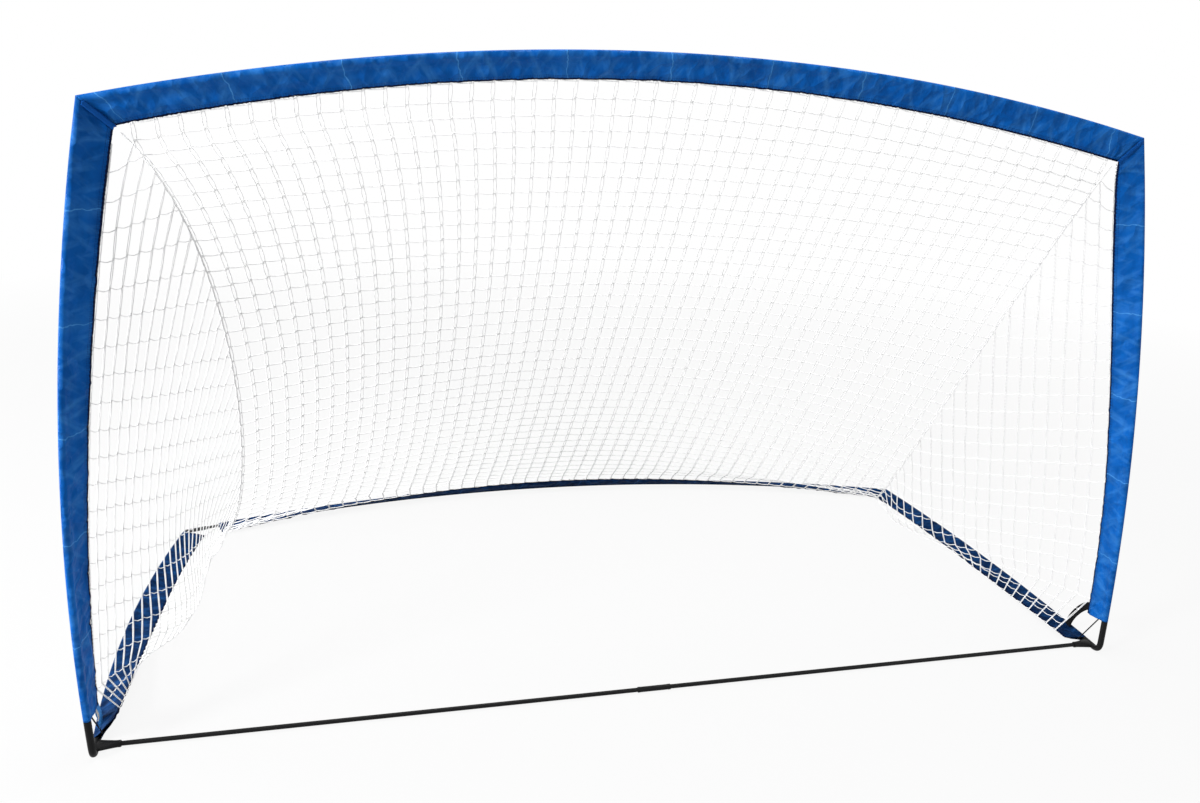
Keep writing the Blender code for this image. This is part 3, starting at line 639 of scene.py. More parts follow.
    # A dark overlocked edge 4 mm wide, with a loop of thread every 8.5 mm
    loops = add_node(tree, "ShaderNodeMath", {0: along, 1: math.pi / sleeve.overlock}, operation="MULTIPLY")
    loops = add_node(tree, "ShaderNodeMath", {0: loops.outputs[0]}, operation="SINE")
    loops = add_node(tree, "ShaderNodeMath", {0: loops.outputs[0]}, operation="ABSOLUTE")
    inset = add_node(
        tree, "ShaderNodeMath", {0: loops.outputs[0], 1: -0.0013, 2: across}, operation="MULTIPLY_ADD"
    )
    edge = add_node(
        tree, "ShaderNodeMapRange",
        {"Value": inset.outputs[0], "From Min": 0.0030, "From Max": 0.0038, "To Min": 1.0, "To Max": 0.0},
    )
    edged = add_node(
        tree, "ShaderNodeMix",
        {0: edge.outputs["Result"], "A": cloth_colour, "B": rgba(edging)}, data_type="RGBA",
    )

    # Two rows of stitches, 6.5 mm and 9.5 mm from the hem's edge
    seam_middle, row_away, half_thread, drawn_share = 0.0080, 0.0015, 0.00045, 0.62
    row = add_node(tree, "ShaderNodeMath", {0: across, 1: seam_middle}, operation="SUBTRACT")
    row = add_node(tree, "ShaderNodeMath", {0: row.outputs[0]}, operation="ABSOLUTE")
    row = add_node(
        tree, "ShaderNodeMath", {0: row.outputs[0], 1: row_away, 2: half_thread}, operation="COMPARE"
    )
    beat = add_node(tree, "ShaderNodeMath", {0: along, 1: 1 / sleeve.stitch}, operation="MULTIPLY")
    beat = add_node(tree, "ShaderNodeMath", {0: beat.outputs[0]}, operation="FRACT")
    beat = add_node(tree, "ShaderNodeMath", {0: beat.outputs[0], 1: drawn_share}, operation="LESS_THAN")
    stitches = add_node(tree, "ShaderNodeMath", {0: row.outputs[0], 1: beat.outputs[0]}, operation="MULTIPLY")
    sewn = add_node(
        tree, "ShaderNodeMix",
        {0: stitches.outputs[0], "A": edged.outputs[2], "B": rgba(thread_colour)}, data_type="RGBA",
    )
    tree.links.new(sewn.outputs[2], shader.inputs["Base Color"])

    # Heights in metres. The row of stitches pulls a shallow channel into the cloth
    channel = add_node(
        tree, "ShaderNodeMath", {0: across, 1: seam_middle, 2: 2 * row_away}, operation="COMPARE"
    )
    reliefs = [
        (weave.outputs[0], 0.00004), (crumple.outputs["Fac"], 0.0016), (facets.outputs["Distance"], 0.0105),
        (small_facets.outputs["Distance"], 0.0015), (line.outputs["Result"], 0.0005),
        (stitches.outputs[0], 0.0005), (channel.outputs[0], -0.0004),
    ]
    height = 0.0
    for socket, depth in reliefs:
        added = add_node(tree, "ShaderNodeMath", {0: socket, 1: depth, 2: height}, operation="MULTIPLY_ADD")
        height = added.outputs[0]
    bump = add_node(tree, "ShaderNodeBump", {"Height": height, "Strength": 1.0, "Distance": 1.0})
    tree.links.new(bump.outputs["Normal"], shader.inputs["Normal"])
    gloss = add_node(
        tree, "ShaderNodeMapRange",
        {"Value": crumple.outputs["Fac"], "To Min": roughness - 0.07, "To Max": roughness + 0.09},
    )
    tree.links.new(gloss.outputs["Result"], shader.inputs["Roughness"])
    shader.inputs["Specular IOR Level"].default_value = gleam
    return material


def twisted_yarn(name, colour, spacing, roughness, shade):
    """Spun and twisted polyester yarn: matt, with a fine slant of plies."""
    material, tree, shader = new_material(name)
    place = add_node(tree, "ShaderNodeTexCoord").outputs["Object"]
    plies = add_node(
        tree, "ShaderNodeTexWave",
        {"Vector": place, "Scale": WAVE_PERIOD / spacing, "Distortion": 1.5, "Detail": 1.0},
        bands_direction="DIAGONAL",
    )
    # Fuzz 0.7 mm across
    fuzz = add_node(tree, "ShaderNodeTexNoise", {"Vector": place, "Scale": 1400.0, "Detail": 2.0})
    tint = add_node(
        tree, "ShaderNodeMix",
        {0: plies.outputs["Fac"], "A": rgba(shaded(colour, shade)), "B": rgba(colour)}, data_type="RGBA",
    )
    tree.links.new(tint.outputs[2], shader.inputs["Base Color"])
    height = add_node(
        tree, "ShaderNodeMath", {0: fuzz.outputs["Fac"], 1: 0.35, 2: plies.outputs["Fac"]},
        operation="MULTIPLY_ADD",
    )
    bump = add_node(
        tree, "ShaderNodeBump", {"Height": height.outputs[0], "Strength": 0.5, "Distance": 0.0004}
    )
    tree.links.new(bump.outputs["Normal"], shader.inputs["Normal"])
    shader.inputs["Roughness"].default_value = roughness
    shader.inputs["Specular IOR Level"].default_value = 0.15
    return material


def powder_coat(name, colour):
    """Powder-coated steel: satin black with a fine orange peel."""
    material, tree, shader = new_material(name)
    place = add_node(tree, "ShaderNodeTexCoord").outputs["Object"]
    # Orange peel 1.1 mm across, and wear 22 mm across
    peel = add_node(tree, "ShaderNodeTexNoise", {"Vector": place, "Scale": 900.0, "Detail": 2.0})
    wear = add_node(tree, "ShaderNodeTexNoise", {"Vector": place, "Scale": 45.0, "Detail": 5.0})
    tint = add_node(
        tree, "ShaderNodeMix",
        {0: wear.outputs["Fac"], "A": rgba(colour), "B": rgba(shaded(colour, 1.9))}, data_type="RGBA",
    )
    tree.links.new(tint.outputs[2], shader.inputs["Base Color"])
    gloss = add_node(
        tree, "ShaderNodeMapRange", {"Value": wear.outputs["Fac"], "To Min": 0.34, "To Max": 0.52}
    )
    tree.links.new(gloss.outputs["Result"], shader.inputs["Roughness"])
    shader.inputs["Specular IOR Level"].default_value = 0.12
    bump = add_node(
        tree, "ShaderNodeBump", {"Height": peel.outputs["Fac"], "Strength": 0.35, "Distance": 0.0002}
    )
    tree.links.new(bump.outputs["Normal"], shader.inputs["Normal"])
    return material


def pultruded_fibreglass(name, colour):
    """Pultruded fibreglass rod: satin black resin with long fibres under it."""
    material, tree, shader = new_material(name)
    place = add_node(tree, "ShaderNodeTexCoord").outputs["Object"]
    # Bundles of fibre 4 mm across
    fibres = add_node(tree, "ShaderNodeTexNoise", {"Vector": place, "Scale": 260.0, "Detail": 4.0})
    tint = add_node(
        tree, "ShaderNodeMix",
        {0: fibres.outputs["Fac"], "A": rgba(colour), "B": rgba(shaded(colour, 2.2))}, data_type="RGBA",
    )
    tree.links.new(tint.outputs[2], shader.inputs["Base Color"])
    bump = add_node(
        tree, "ShaderNodeBump", {"Height": fibres.outputs["Fac"], "Strength": 0.2, "Distance": 0.0002}
    )
    tree.links.new(bump.outputs["Normal"], shader.inputs["Normal"])
    shader.inputs["Roughness"].default_value = 0.36
    return material


def drawn_aluminium(name, colour):
    """Drawn aluminium tube: bright, with a fine unevenness from the die."""
    material, tree, shader = new_material(name)
    place = add_node(tree, "ShaderNodeTexCoord").outputs["Object"]
    # Marks of the die 1.4 mm across
    lines = add_node(tree, "ShaderNodeTexNoise", {"Vector": place, "Scale": 700.0, "Detail": 3.0})
    gloss = add_node(
        tree, "ShaderNodeMapRange", {"Value": lines.outputs["Fac"], "To Min": 0.24, "To Max": 0.42}
    )
    tree.links.new(gloss.outputs["Result"], shader.inputs["Roughness"])
    tint = add_node(
        tree, "ShaderNodeMix",
        {0: lines.outputs["Fac"], "A": rgba(shaded(colour, 0.85)), "B": rgba(colour)}, data_type="RGBA",
    )
    tree.links.new(tint.outputs[2], shader.inputs["Base Color"])
    shader.inputs["Metallic"].default_value = 1.0
    return material


def ribbed_webbing(name, colour, rib):
    """Woven webbing: matt, with ribs across its width."""
    material, tree, shader = new_material(name)
    uv = add_node(tree, "ShaderNodeUVMap", uv_map="cloth").outputs["UV"]
    ribs = add_node(
        tree, "ShaderNodeTexWave", {"Vector": uv, "Scale": WAVE_PERIOD / rib}, bands_direction="X"
    )
    cords = add_node(
        tree, "ShaderNodeTexWave", {"Vector": uv, "Scale": WAVE_PERIOD / (2 * rib)}, bands_direction="Y"
    )
    height = add_node(
        tree, "ShaderNodeMath", {0: cords.outputs["Fac"], 1: 0.7, 2: ribs.outputs["Fac"]},
        operation="MULTIPLY_ADD",
    )
    tint = add_node(
        tree, "ShaderNodeMix",
        {0: ribs.outputs["Fac"], "A": rgba(shaded(colour, 0.6)), "B": rgba(shaded(colour, 1.6))},
        data_type="RGBA",
    )
    tree.links.new(tint.outputs[2], shader.inputs["Base Color"])
    bump = add_node(
        tree, "ShaderNodeBump", {"Height": height.outputs[0], "Strength": 0.6, "Distance": 0.0005}
    )
    tree.links.new(bump.outputs["Normal"], shader.inputs["Normal"])
    shader.inputs["Roughness"].default_value = 0.82
    shader.inputs["Specular IOR Level"].default_value = 0.12
    return material


def finish(name, scene):
    """The material of that name, made the first time that a piece asks for it."""
    made = bpy.data.materials.get(name)
    if made:
        return made
    colours, sleeve = scene.goal_colours, scene.goal_sleeves
    recipes = {
        "calendered_royal_polyester": (
            woven_polyester, colours.royal, colours.royal_deep, colours.royal_highlight_and_reverse, colours.edging,
            colours.stitch, sleeve, 0.48, 0.04,
        ),
        "uncoated_royal_polyester": (
            woven_polyester, colours.royal_highlight_and_reverse, colours.royal, colours.royal_highlight_and_reverse, colours.royal,
            colours.stitch, sleeve, 0.50, 0.10,
        ),
        "woven_navy_polyester": (
            woven_polyester, colours.navy, colours.navy_deep, colours.navy_highlight, colours.edging,
            colours.navy, sleeve, 0.64, 0.02,
        ),
        "twisted_white_yarn": (twisted_yarn, colours.net_white, 0.0026, 0.70, 0.88),
        "overlock_thread": (twisted_yarn, colours.edging, 0.0016, 0.75, 0.82),
        "braided_elastic": (twisted_yarn, colours.webbing_black, 0.0014, 0.80, 0.82),
        "powder_coated_steel": (powder_coat, colours.steel_black),
        "pultruded_fibreglass": (pultruded_fibreglass, colours.pole_black),
        "drawn_aluminium": (drawn_aluminium, colours.ferrule),
        "ribbed_binding_tape": (ribbed_webbing, colours.royal_deep, 0.0012),
        "black_webbing": (ribbed_webbing, colours.webbing_black, 0.0016),
        "white_woven_tape": (ribbed_webbing, shaded(colours.tape_white, 0.62), 0.0010),
    }
    maker, *values = recipes[name]
    return maker(name, *values)


class GOAL_OT_camera(bpy.types.Operator):
    """Sets the camera at the photo's angle: in front, left of the middle, as high as the top corners"""

    bl_idname = "goal.camera"
    bl_label = "Camera"

    def execute(self, context):
        goal = Goal(context.scene)
        data = bpy.data.cameras.new("photo_camera")
        data.sensor_width = 36.0
        data.lens = 28.66
        camera = link("photo_camera", data)
        yaw, pitch, roll = (math.radians(angle) for angle in (13.95, 16.96, 2.36))
        forward = Vector((math.sin(yaw) * math.cos(pitch), math.cos(yaw) * math.cos(pitch), -math.sin(pitch)))
        level = Vector((math.cos(yaw), -math.sin(yaw), 0))
        above = level.cross(forward)
        right = level * math.cos(roll) + above * math.sin(roll)
        top = above * math.cos(roll) - level * math.sin(roll)
        place = Vector((goal.middle - 0.6241, goal.front - 1.8277, 1.3079))
        turn = Matrix((right, top, -forward)).transposed().to_4x4()
        camera.matrix_world = Matrix.Translation(place) @ turn
        context.scene.camera = camera
        return {"FINISHED"}


class GOAL_OT_corner_elastics(bpy.types.Operator):
    """Stretches an elastic cord across each front corner"""

    bl_idname = "goal.corner_elastics"
    bl_label = "Corner elastics"

    def execute(self, context):
        goal = Goal(context.scene)
        radius, slip, reach_out, steps = 0.0015, 0.0003, 0.020, 10
        for side in SIDES:
            post, ground = goal.rails[side + "_post"], goal.rails[side + "_side"]
            top = post.centre(POST_SLEEVE_START) + post.hem(POST_SLEEVE_START) * reach_out
            top -= post.tangent(POST_SLEEVE_START) * (radius + slip)
            foot = ground.centre(SIDE_SLEEVE_START) + ground.hem(SIDE_SLEEVE_START) * reach_out
            foot -= ground.tangent(SIDE_SLEEVE_START) * (radius + slip)
            name = f"{side}_corner_elastic"
            piece = yarn(name + "_cord", [[top.lerp(foot, k / steps) for k in range(steps + 1)]], radius, 2)
            settle(piece, "frame", finish("braided_elastic", context.scene), "elastic", name)
        return {"FINISHED"}


class ClothFolds:
    """How far a sleeve's cloth stands off its flat form: loose folds, packing creases, gathers at the hem."""

    def __init__(self, seed, length, sleeve, reach):
        choose = random.Random(seed)
        self.sleeve = sleeve
        self.reach = reach
        self.shift = Vector((choose.uniform(0, 40), choose.uniform(0, 40), seed * 3.7))
        self.creases, self.lines = [], []
        place = choose.uniform(0.3, 0.8) * sleeve.crease_spacing
        while place < length - 0.05:
            depth = sleeve.crease_depth * choose.choice((-1, 1)) * choose.uniform(0.6, 1.2)
            self.creases.append((place, choose.uniform(-0.5, 0.5), depth))
            for lean in (-1.1, 0.9):
                span = choose.uniform(0.014, 0.028)
                beside = place + lean * 0.003
                self.lines.append((beside, lean, span, sleeve.crease_depth * 0.8, 0.0030, False))
            place += sleeve.crease_spacing * choose.uniform(0.6, 1.4)
        place = 0.0
        while place < length:
            lean = choose.choice((-1, 1)) * choose.uniform(0.3, 1.3)
            span = choose.uniform(0.016, 0.042)
            depth = sleeve.gather_depth * choose.uniform(0.4, 1.2) * choose.choice((1, 1, -1))
            self.lines.append((place, lean, span, depth, choose.uniform(0.0030, 0.0070), True))
            place += sleeve.gather_spacing * choose.uniform(0.35, 1.6)

    def near(self, distance):
        """The creases and wrinkles that may reach the section at a distance along the pole."""
        crease_reach, wrinkle_reach = 0.040, 0.075
        creases = [c for c in self.creases if abs(c[0] - distance) < crease_reach]
        return creases, [w for w in self.lines if abs(w[0] - distance) < wrinkle_reach]

    def at(self, near, distance, share, end_room):
        """The shift of both layers, and half of how far they part, at a share from the pole to the hem."""
        still_length = 0.035
        still = smooth(end_room / still_length)
        depth = self.sleeve.fold_depth
        along = Vector((distance * 9.0, share * 0.8, 0.0)) + self.shift
        broad = Vector(((distance + share * 0.034) * 17.0, share * 1.3, 0.0)) + self.shift
        fine = Vector(((distance - share * 0.024) * 44.0, share * 2.8, 0.0)) + self.shift * 2
        facets = noise.voronoi(broad)[0][0] - 0.40 + (noise.voronoi(fine)[0][0] - 0.40) * 0.34
        wave = (noise.noise(along) * 0.7 + facets * 2.2) * depth * smooth(share * 2.2)
        wave *= 1 - 0.65 * smooth((share - 0.72) / 0.28)
        creases, lines = near
        for place, lean, fold in creases:
            away = abs(distance - place - lean * 0.030 * share)
            wave += fold * math.exp(-away / 0.0040) * smooth(share * 2.5)
        for place, lean, span, fold, width, from_hem in lines:
            rise = (1 - share if from_hem else share) * self.reach
            if rise < span:
                away = (distance - place - lean * rise) / width
                wave += fold * math.exp(-away * away) * (1 - rise / span) ** 0.6
        belly = math.sin(math.pi * min(share * 1.08, 1.0))
        part = (0.55 + noise.noise(along * 1.7 + UP * 9.0)) * depth * 0.9 * belly
        return wave * still, max(part, 0.0) * still


# Steps of a sleeve's section on each face and round the pole, and the distance between sections
FACE_STEPS = 14
ARC_STEPS = 10
CLOTH_STEP = 0.0042


def cloth_section(goal, rail, distance, folds, end_room, slant=0.0):
    """The sleeve's section: from the hem over its upper face, round the pole and back under it."""
    floor_gap = 0.0002
    centre, hem, tangent = rail.centre(distance), rail.hem(distance), rail.tangent(distance)
    across = tangent.cross(hem)
    first = math.pi / 2 - goal.taper
    side_in, side_out = goal.radius * math.cos(first), goal.radius * math.sin(first)
    upper, lower = [], []
    near = folds.near(distance)
    for k in range(FACE_STEPS):
        share = 1 - k / FACE_STEPS
        reach = side_in + (goal.reach - side_in) * share
        sunk = 0.30 * (1 - share) + 0.70 * max(0.0, 1 - share / 0.30) ** 1.5
        stand = goal.hem_half + (side_out - goal.hem_half) * sunk
        wave, part = folds.at(near, distance, share, end_room)
        base = centre + hem * reach + tangent * slant * share
        upper.append(base + across * (stand + wave + part))
        lower.append(base + across * (wave - stand - part))
    arc = []
    for k in range(ARC_STEPS + 1):
        angle = first + (2 * math.pi - 2 * first) * k / ARC_STEPS
        arc.append(centre + (hem * math.cos(angle) + across * math.sin(angle)) * goal.radius)
    section = upper + arc + lower[::-1]
    for point in section:
        point.z = max(point.z, floor_gap)
    return section


def cloth_offsets(goal):
    """The distance of each point of a section from the hem's edge, in metres over the cloth."""
    face = [goal.reach * k / FACE_STEPS for k in range(FACE_STEPS)]
    sweep = goal.radius * math.pi
    arc = [goal.reach + sweep * min(k, ARC_STEPS - k) / ARC_STEPS for k in range(ARC_STEPS + 1)]
    return face + arc + face[::-1]


def slid(points, direction, plane):
    """Points slid along a direction until they lie on a plane."""
    origin, normal = plane
    return [p + direction * ((origin - p).dot(normal) / direction.dot(normal)) for p in points]


def make_sleeve(goal, name, rail_name, low, high, seed, low_plane, high_plane, slant):
    """One sleeve. An end with a plane is mitred on it, and a slant cuts the lower end at an angle."""
    rail = goal.rails[rail_name]
    folds = ClothFolds(seed, rail.length, goal.sleeve, goal.reach)
    keep = goal.reach + 0.012
    first = low + keep if low_plane else low
    last = high - keep if high_plane else high
    stations = spread(first, last, CLOTH_STEP)
    sections = []
    for distance in stations:
        room_low = distance - low if low_plane else 1.0
        room_high = high - distance if high_plane else 1.0
        cut = slant * (1 - smooth((distance - low) / 0.06))
        sections.append(cloth_section(goal, rail, distance, folds, min(room_low, room_high), cut))
    steps = round(keep / CLOTH_STEP)
    if low_plane:
        end = slid(cloth_section(goal, rail, low, folds, 0.0), rail.tangent(low), low_plane)
        start = sections[0]
        sections[:0] = [[a.lerp(b, k / steps) for a, b in zip(end, start)] for k in range(steps)]
        stations[:0] = [first - keep * ((steps - k) / steps) for k in range(steps)]
    if high_plane:
        end = slid(cloth_section(goal, rail, high, folds, 0.0), rail.tangent(high), high_plane)
        start = sections[-1]
        sections += [[a.lerp(b, k / steps) for a, b in zip(start, end)] for k in range(1, steps + 1)]
        stations += [last + keep * (k / steps) for k in range(1, steps + 1)]
    piece = cloth_grid(name + "_cloth", sections, stations, cloth_offsets(goal), goal.sleeve.cloth)
    return piece, (2 * goal.reach + math.pi * goal.radius, high - low)


def sew_sleeves(goal, cloth, slot, jobs):
    for name, rail, low, high, seed, low_plane, high_plane, slant in jobs:
        piece, flat = make_sleeve(goal, name, rail, low, high, seed, low_plane, high_plane, slant)
        settle(piece, "frame", cloth, slot, name)


def shifted(plane, distance):
    origin, normal = plane
    return origin + normal * distance, normal


class GOAL_OT_arch_sleeves(bpy.types.Operator):
    """Draws the royal blue sleeves over the posts and the crossbar"""

    bl_idname = "goal.arch_sleeves"
    bl_label = "Arch sleeves"

    def execute(self, context):
        goal = Goal(context.scene)
        half = MITRE_GAP / 2
        left, right = goal.mitres["left"], goal.mitres["right"]
        start, post, bar = POST_SLEEVE_START, goal.rails["left_post"].length, goal.rails["crossbar"].length
        jobs = [
            ("left_post_sleeve", "left_post", start, post, 1, None, shifted(left, -half), 0.0),
            ("crossbar_sleeve", "crossbar", 0.0, bar, 2, shifted(left, half), shifted(right, -half), 0.0),
            ("right_post_sleeve", "right_post", start, post, 3, None, shifted(right, half), -0.004),
        ]
        sew_sleeves(goal, finish("calendered_royal_polyester", context.scene), "arch_sleeve", jobs)
        return {"FINISHED"}


class GOAL_OT_ground_sleeves(bpy.types.Operator):
    """Draws the navy sleeves over the side and rear poles"""

    bl_idname = "goal.ground_sleeves"
    bl_label = "Ground sleeves"

    def execute(self, context):
        goal = Goal(context.scene)
        half, corner = MITRE_GAP / 2, goal.mitres["rear"]
        start, side, rear = SIDE_SLEEVE_START, goal.rails["left_side"].length, goal.rails["rear"].length
        left_end = side - SIDE_SLEEVE_BACK_OFF
        jobs = [
            ("left_ground_sleeve", "left_side", start, left_end, 4, None, None, 0.0),
            ("right_ground_sleeve", "right_side", start, side, 5, None, shifted(corner, half), 0.0),
            ("rear_ground_sleeve", "rear", REAR_SLEEVE_START, rear, 6, None, shifted(corner, -half), 0.0),
        ]
        sew_sleeves(goal, finish("woven_navy_polyester", context.scene), "ground_sleeve", jobs)
        return {"FINISHED"}


class GOAL_OT_overlocked_hems(bpy.types.Operator):
    """Loops an overlock thread over the edge of every hem"""

    bl_idname = "goal.overlocked_hems"
    bl_label = "Overlocked hems"

    def execute(self, context):
        goal = Goal(context.scene)
        pitch = goal.sleeve.overlock
        step = pitch / 8
        inset, stand, thickness = 0.0011, 0.0003, 0.0009
        thread = finish("overlock_thread", context.scene)
        starts = {"post": POST_SLEEVE_START, "side": SIDE_SLEEVE_START}
        for name, rail in goal.rails.items():
            low, high = goal.net_span(name)
            low = starts.get(name.split("_")[-1], low - NET_INSET)
            line = [rail.hem_point(d, -inset) for d in spread(low + 0.004, high + NET_INSET, step)]
            loops = wound(line, goal.hem_half + stand, pitch, step)
            piece = yarn(f"{name}_hem_overlock", [loops], thickness / 2)
            on_ground = name in ("rear", "left_side", "right_side")
            settle(piece, "frame", thread, "ground_sleeve" if on_ground else "arch_sleeve")
        return {"FINISHED"}


class GOAL_OT_corner_bindings(bpy.types.Operator):
    """Sews a raised binding into each mitred top corner"""

    bl_idname = "goal.corner_bindings"
    bl_label = "Corner bindings"

    def execute(self, context):
        goal = Goal(context.scene)
        crossbar = goal.rails["crossbar"]
        still = ClothFolds(0, 1.0, goal.sleeve, goal.reach)
        tape = finish("ribbed_binding_tape", context.scene)
        half, rise, stand, thickness = 0.0048, 0.0026, 0.0007, 0.0006
        steps = 8
        stations = spread(0.0, 1.0, 0.04)
        offsets = [half * (2 * k / steps) for k in range(steps + 1)]
        for side in SIDES:
            post = goal.rails[side + "_post"]
            end = post.length
            origin, normal = goal.mitres[side]
            section = slid(cloth_section(goal, post, end, still, 0.0), post.tangent(end), (origin, normal))
            front_is_lower = post.tangent(end).cross(post.hem(end)).dot(BACK) > 0
            face = section[-FACE_STEPS - 1:] if front_is_lower else section[FACE_STEPS::-1]
            out = (face[-1] - face[0]).cross(normal).normalized()
            out *= -1 if out.dot(BACK) > 0 else 1
            post_way = -post.tangent(end)
            bar_way = crossbar.tangent(0.0) if side == "left" else -crossbar.tangent(crossbar.length)
            post_way *= half / abs(post_way.dot(normal))
            bar_way *= half / abs(bar_way.dot(normal))
            rows = []
            span = (face[-1] - face[0]).length
            for share in stations:
                base = face[0].lerp(face[-1], share) + out * stand
                row = []
                for k in range(steps + 1):
                    across = 2 * k / steps - 1
                    way = post_way * -across if across < 0 else bar_way * across
                    ripple = 1 + 0.12 * math.sin(share * 60.0 + across)
                    row.append(base + way + out * rise * math.cos(across * math.pi / 2) ** 0.6 * ripple)
                rows.append(row)
            lengths = [share * span for share in stations]
            piece = cloth_grid(f"{side}_corner_binding_tape", rows, lengths, offsets, thickness)
            settle(piece, "frame", tape, "binding", f"{side}_corner_binding")
        return {"FINISHED"}


class GOAL_OT_corner_tubes(bpy.types.Operator):
    """Bends the black steel tubes at the feet of the posts"""

    bl_idname = "goal.corner_tubes"
    bl_label = "Corner tubes"

    def execute(self, context):
        goal = Goal(context.scene)
        sizes = goal.sizes
        steel = finish("powder_coated_steel", context.scene)
        coat, leg_step, bend_steps = 0.0005, 0.010, 16
        for side in SIDES:
            post, ground = goal.rails[side + "_post"], goal.rails[side + "_side"]
            foot = post.centre(0.0)
            bend_start, bend_end = post.centre(sizes.tube_bend), ground.centre(sizes.tube_bend)
            line = [post.centre(d) for d in spread(sizes.post_leg, sizes.tube_bend, leg_step)]
            for k in range(1, bend_steps):
                share = k / bend_steps
                line.append(bend_start.lerp(foot, share).lerp(foot.lerp(bend_end, share), share))
            line += [ground.centre(d) for d in spread(sizes.tube_bend, sizes.ground_leg, leg_step)]
            piece = yarn(f"{side}_corner_tube_steel", [line], sizes.tube_radius + coat, 10)
            settle(piece, "frame", steel, "corner_tube", f"{side}_corner_tube")
        return {"FINISHED"}


class GOAL_OT_bar_sockets(bpy.types.Operator):
    """Presses the wedge-shaped sockets for the front bar and welds them to the corner tubes"""

    bl_idname = "goal.bar_sockets"
    bl_label = "Bar sockets"

    def execute(self, context):
        goal = Goal(context.scene)
        steel = finish("powder_coated_steel", context.scene)
        for side, sign in SIDES.items():
            low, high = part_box(f"{side}_bar_socket")
            outer, mouth = (low.x, high.x) if sign < 0 else (high.x, low.x)
            span = abs(outer - mouth)
            centre = Vector((outer, goal.front + goal.sizes.bar_setback, goal.ground))
            bore = goal.sizes.bar_radius + 0.0003
            profile = [
                (-0.0010, 0.0), (-0.0010, 0.0070),
                *[(d, 0.0072) for d in spread(0.0, span - 0.0060, 0.006)],
                (span - 0.0050, 0.0074), (span - 0.0012, 0.0074), (span, 0.0067),
                (span, bore), (0.005, bore), (0.005, 0.0),
            ]
            piece = turned(f"{side}_bar_socket_steel", profile, centre, RIGHT * -sign)
            for vert in piece.data.vertices:
                share = max(0.0, 1 - abs(vert.co.x - outer) / (span - 0.008))
                away = vert.co.y - centre.y
                flat = Vector((0, away, vert.co.z - centre.z)).length
                if flat > bore + 0.0001:
                    vert.co.y = centre.y + away * (1 + 1.45 * share)
            settle(piece, "frame", steel, "corner_tube", f"{side}_bar_socket")
        return {"FINISHED"}


class GOAL_OT_front_bar(bpy.types.Operator):
    """Turns the two halves of the front bar and the ferrule that joins them"""

    bl_idname = "goal.front_bar"
    bl_label = "Front bar"

    def execute(self, context):
        goal = Goal(context.scene)
        steel = finish("powder_coated_steel", context.scene)
        radius, chamfer = goal.sizes.bar_radius, 0.0006
        for side, sign in SIDES.items():
            low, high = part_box(f"front_bar_{side}_half")
            span = high.x - low.x
            inner = high.x if sign < 0 else low.x
            centre = Vector((inner, goal.front + goal.sizes.bar_setback, goal.ground))
            profile = [(0.0, 0.0), (0.0, radius - chamfer), (chamfer, radius)]
            profile += [(d, radius) for d in spread(0.05, span - 0.05, 0.10)]
            profile += [(span - chamfer, radius), (span, radius - chamfer), (span, 0.0)]
            piece = turned(f"front_bar_{side}_rod", profile, centre, RIGHT * sign)
            settle(piece, f"bar_{side}", steel, "ground_bar", f"front_bar_{side}_half")
        low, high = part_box("front_bar_ferrule")
        half = (high.x - low.x) / 2
        outer, bore = 0.0066, radius + 0.0003
        profile = [
            (-half, bore), (-half, outer - 0.0004), (-half + 0.0004, outer), (-half + 0.0060, outer),
            (-half + 0.0070, outer - 0.0003), (half - 0.0070, outer - 0.0003), (half - 0.0060, outer),
            (half - 0.0004, outer), (half, outer - 0.0004), (half, bore), (-half, bore),
        ]
        centre = Vector(((low.x + high.x) / 2, goal.front + goal.sizes.bar_setback, goal.ground))
        piece = turned("front_bar_ferrule_sleeve", profile, centre, RIGHT)
        settle(piece, "bar_left", steel, "ground_bar", "front_bar_ferrule")
        return {"FINISHED"}


class GOAL_OT_corner_straps(bpy.types.Operator):
    """Loops a webbing strap from each post sleeve down to its ground sleeve"""

    bl_idname = "goal.corner_straps"
    bl_label = "Corner straps"

    def execute(self, context):
        goal = Goal(context.scene)
        webbing = finish("black_webbing", context.scene)
        on_post, on_side, seat, width, thickness = 0.100, 0.120, 0.010, 0.020, 0.0014
        steps, across_steps = 28, 6
        for side in SIDES:
            post, ground = goal.rails[side + "_post"], goal.rails[side + "_side"]
            leave, hem = post.hem(on_post), ground.hem(on_side)
            across = ground.tangent(on_side).cross(hem)
            across *= 1 if across.z > 0 else -1
            out = hem * math.sin(goal.taper) + across * math.cos(goal.taper)
            top = post.hem_point(on_post, -0.003)
            foot = ground.centre(on_side) + out * (goal.radius + 0.0006) + square_to(hem, out) * seat
            controls = (top, top + leave * width, foot + out * width * 1.6, foot)
            points = [curve_point(controls, k / steps) for k in range(steps + 1)]
            rows, lengths, walked = [], [], 0.0
            for k, point in enumerate(points):
                along = points[min(k + 1, steps)] - points[max(k - 1, 0)]
                way = post.tangent(on_post).lerp(ground.tangent(on_side), k / steps)
                wide = square_to(way, along.normalized()) * width / 2
                rows.append([point + wide * (2 * n / across_steps - 1) for n in range(across_steps + 1)])
                walked += (point - points[max(k - 1, 0)]).length
                lengths.append(walked)
            offsets = [width * n / across_steps for n in range(across_steps + 1)]
            piece = cloth_grid(f"{side}_corner_strap_webbing", rows, lengths, offsets, thickness)
            piece.modifiers["cloth"].offset = 0.0
            settle(piece, "frame", webbing, "webbing", f"{side}_corner_strap")
        return {"FINISHED"}


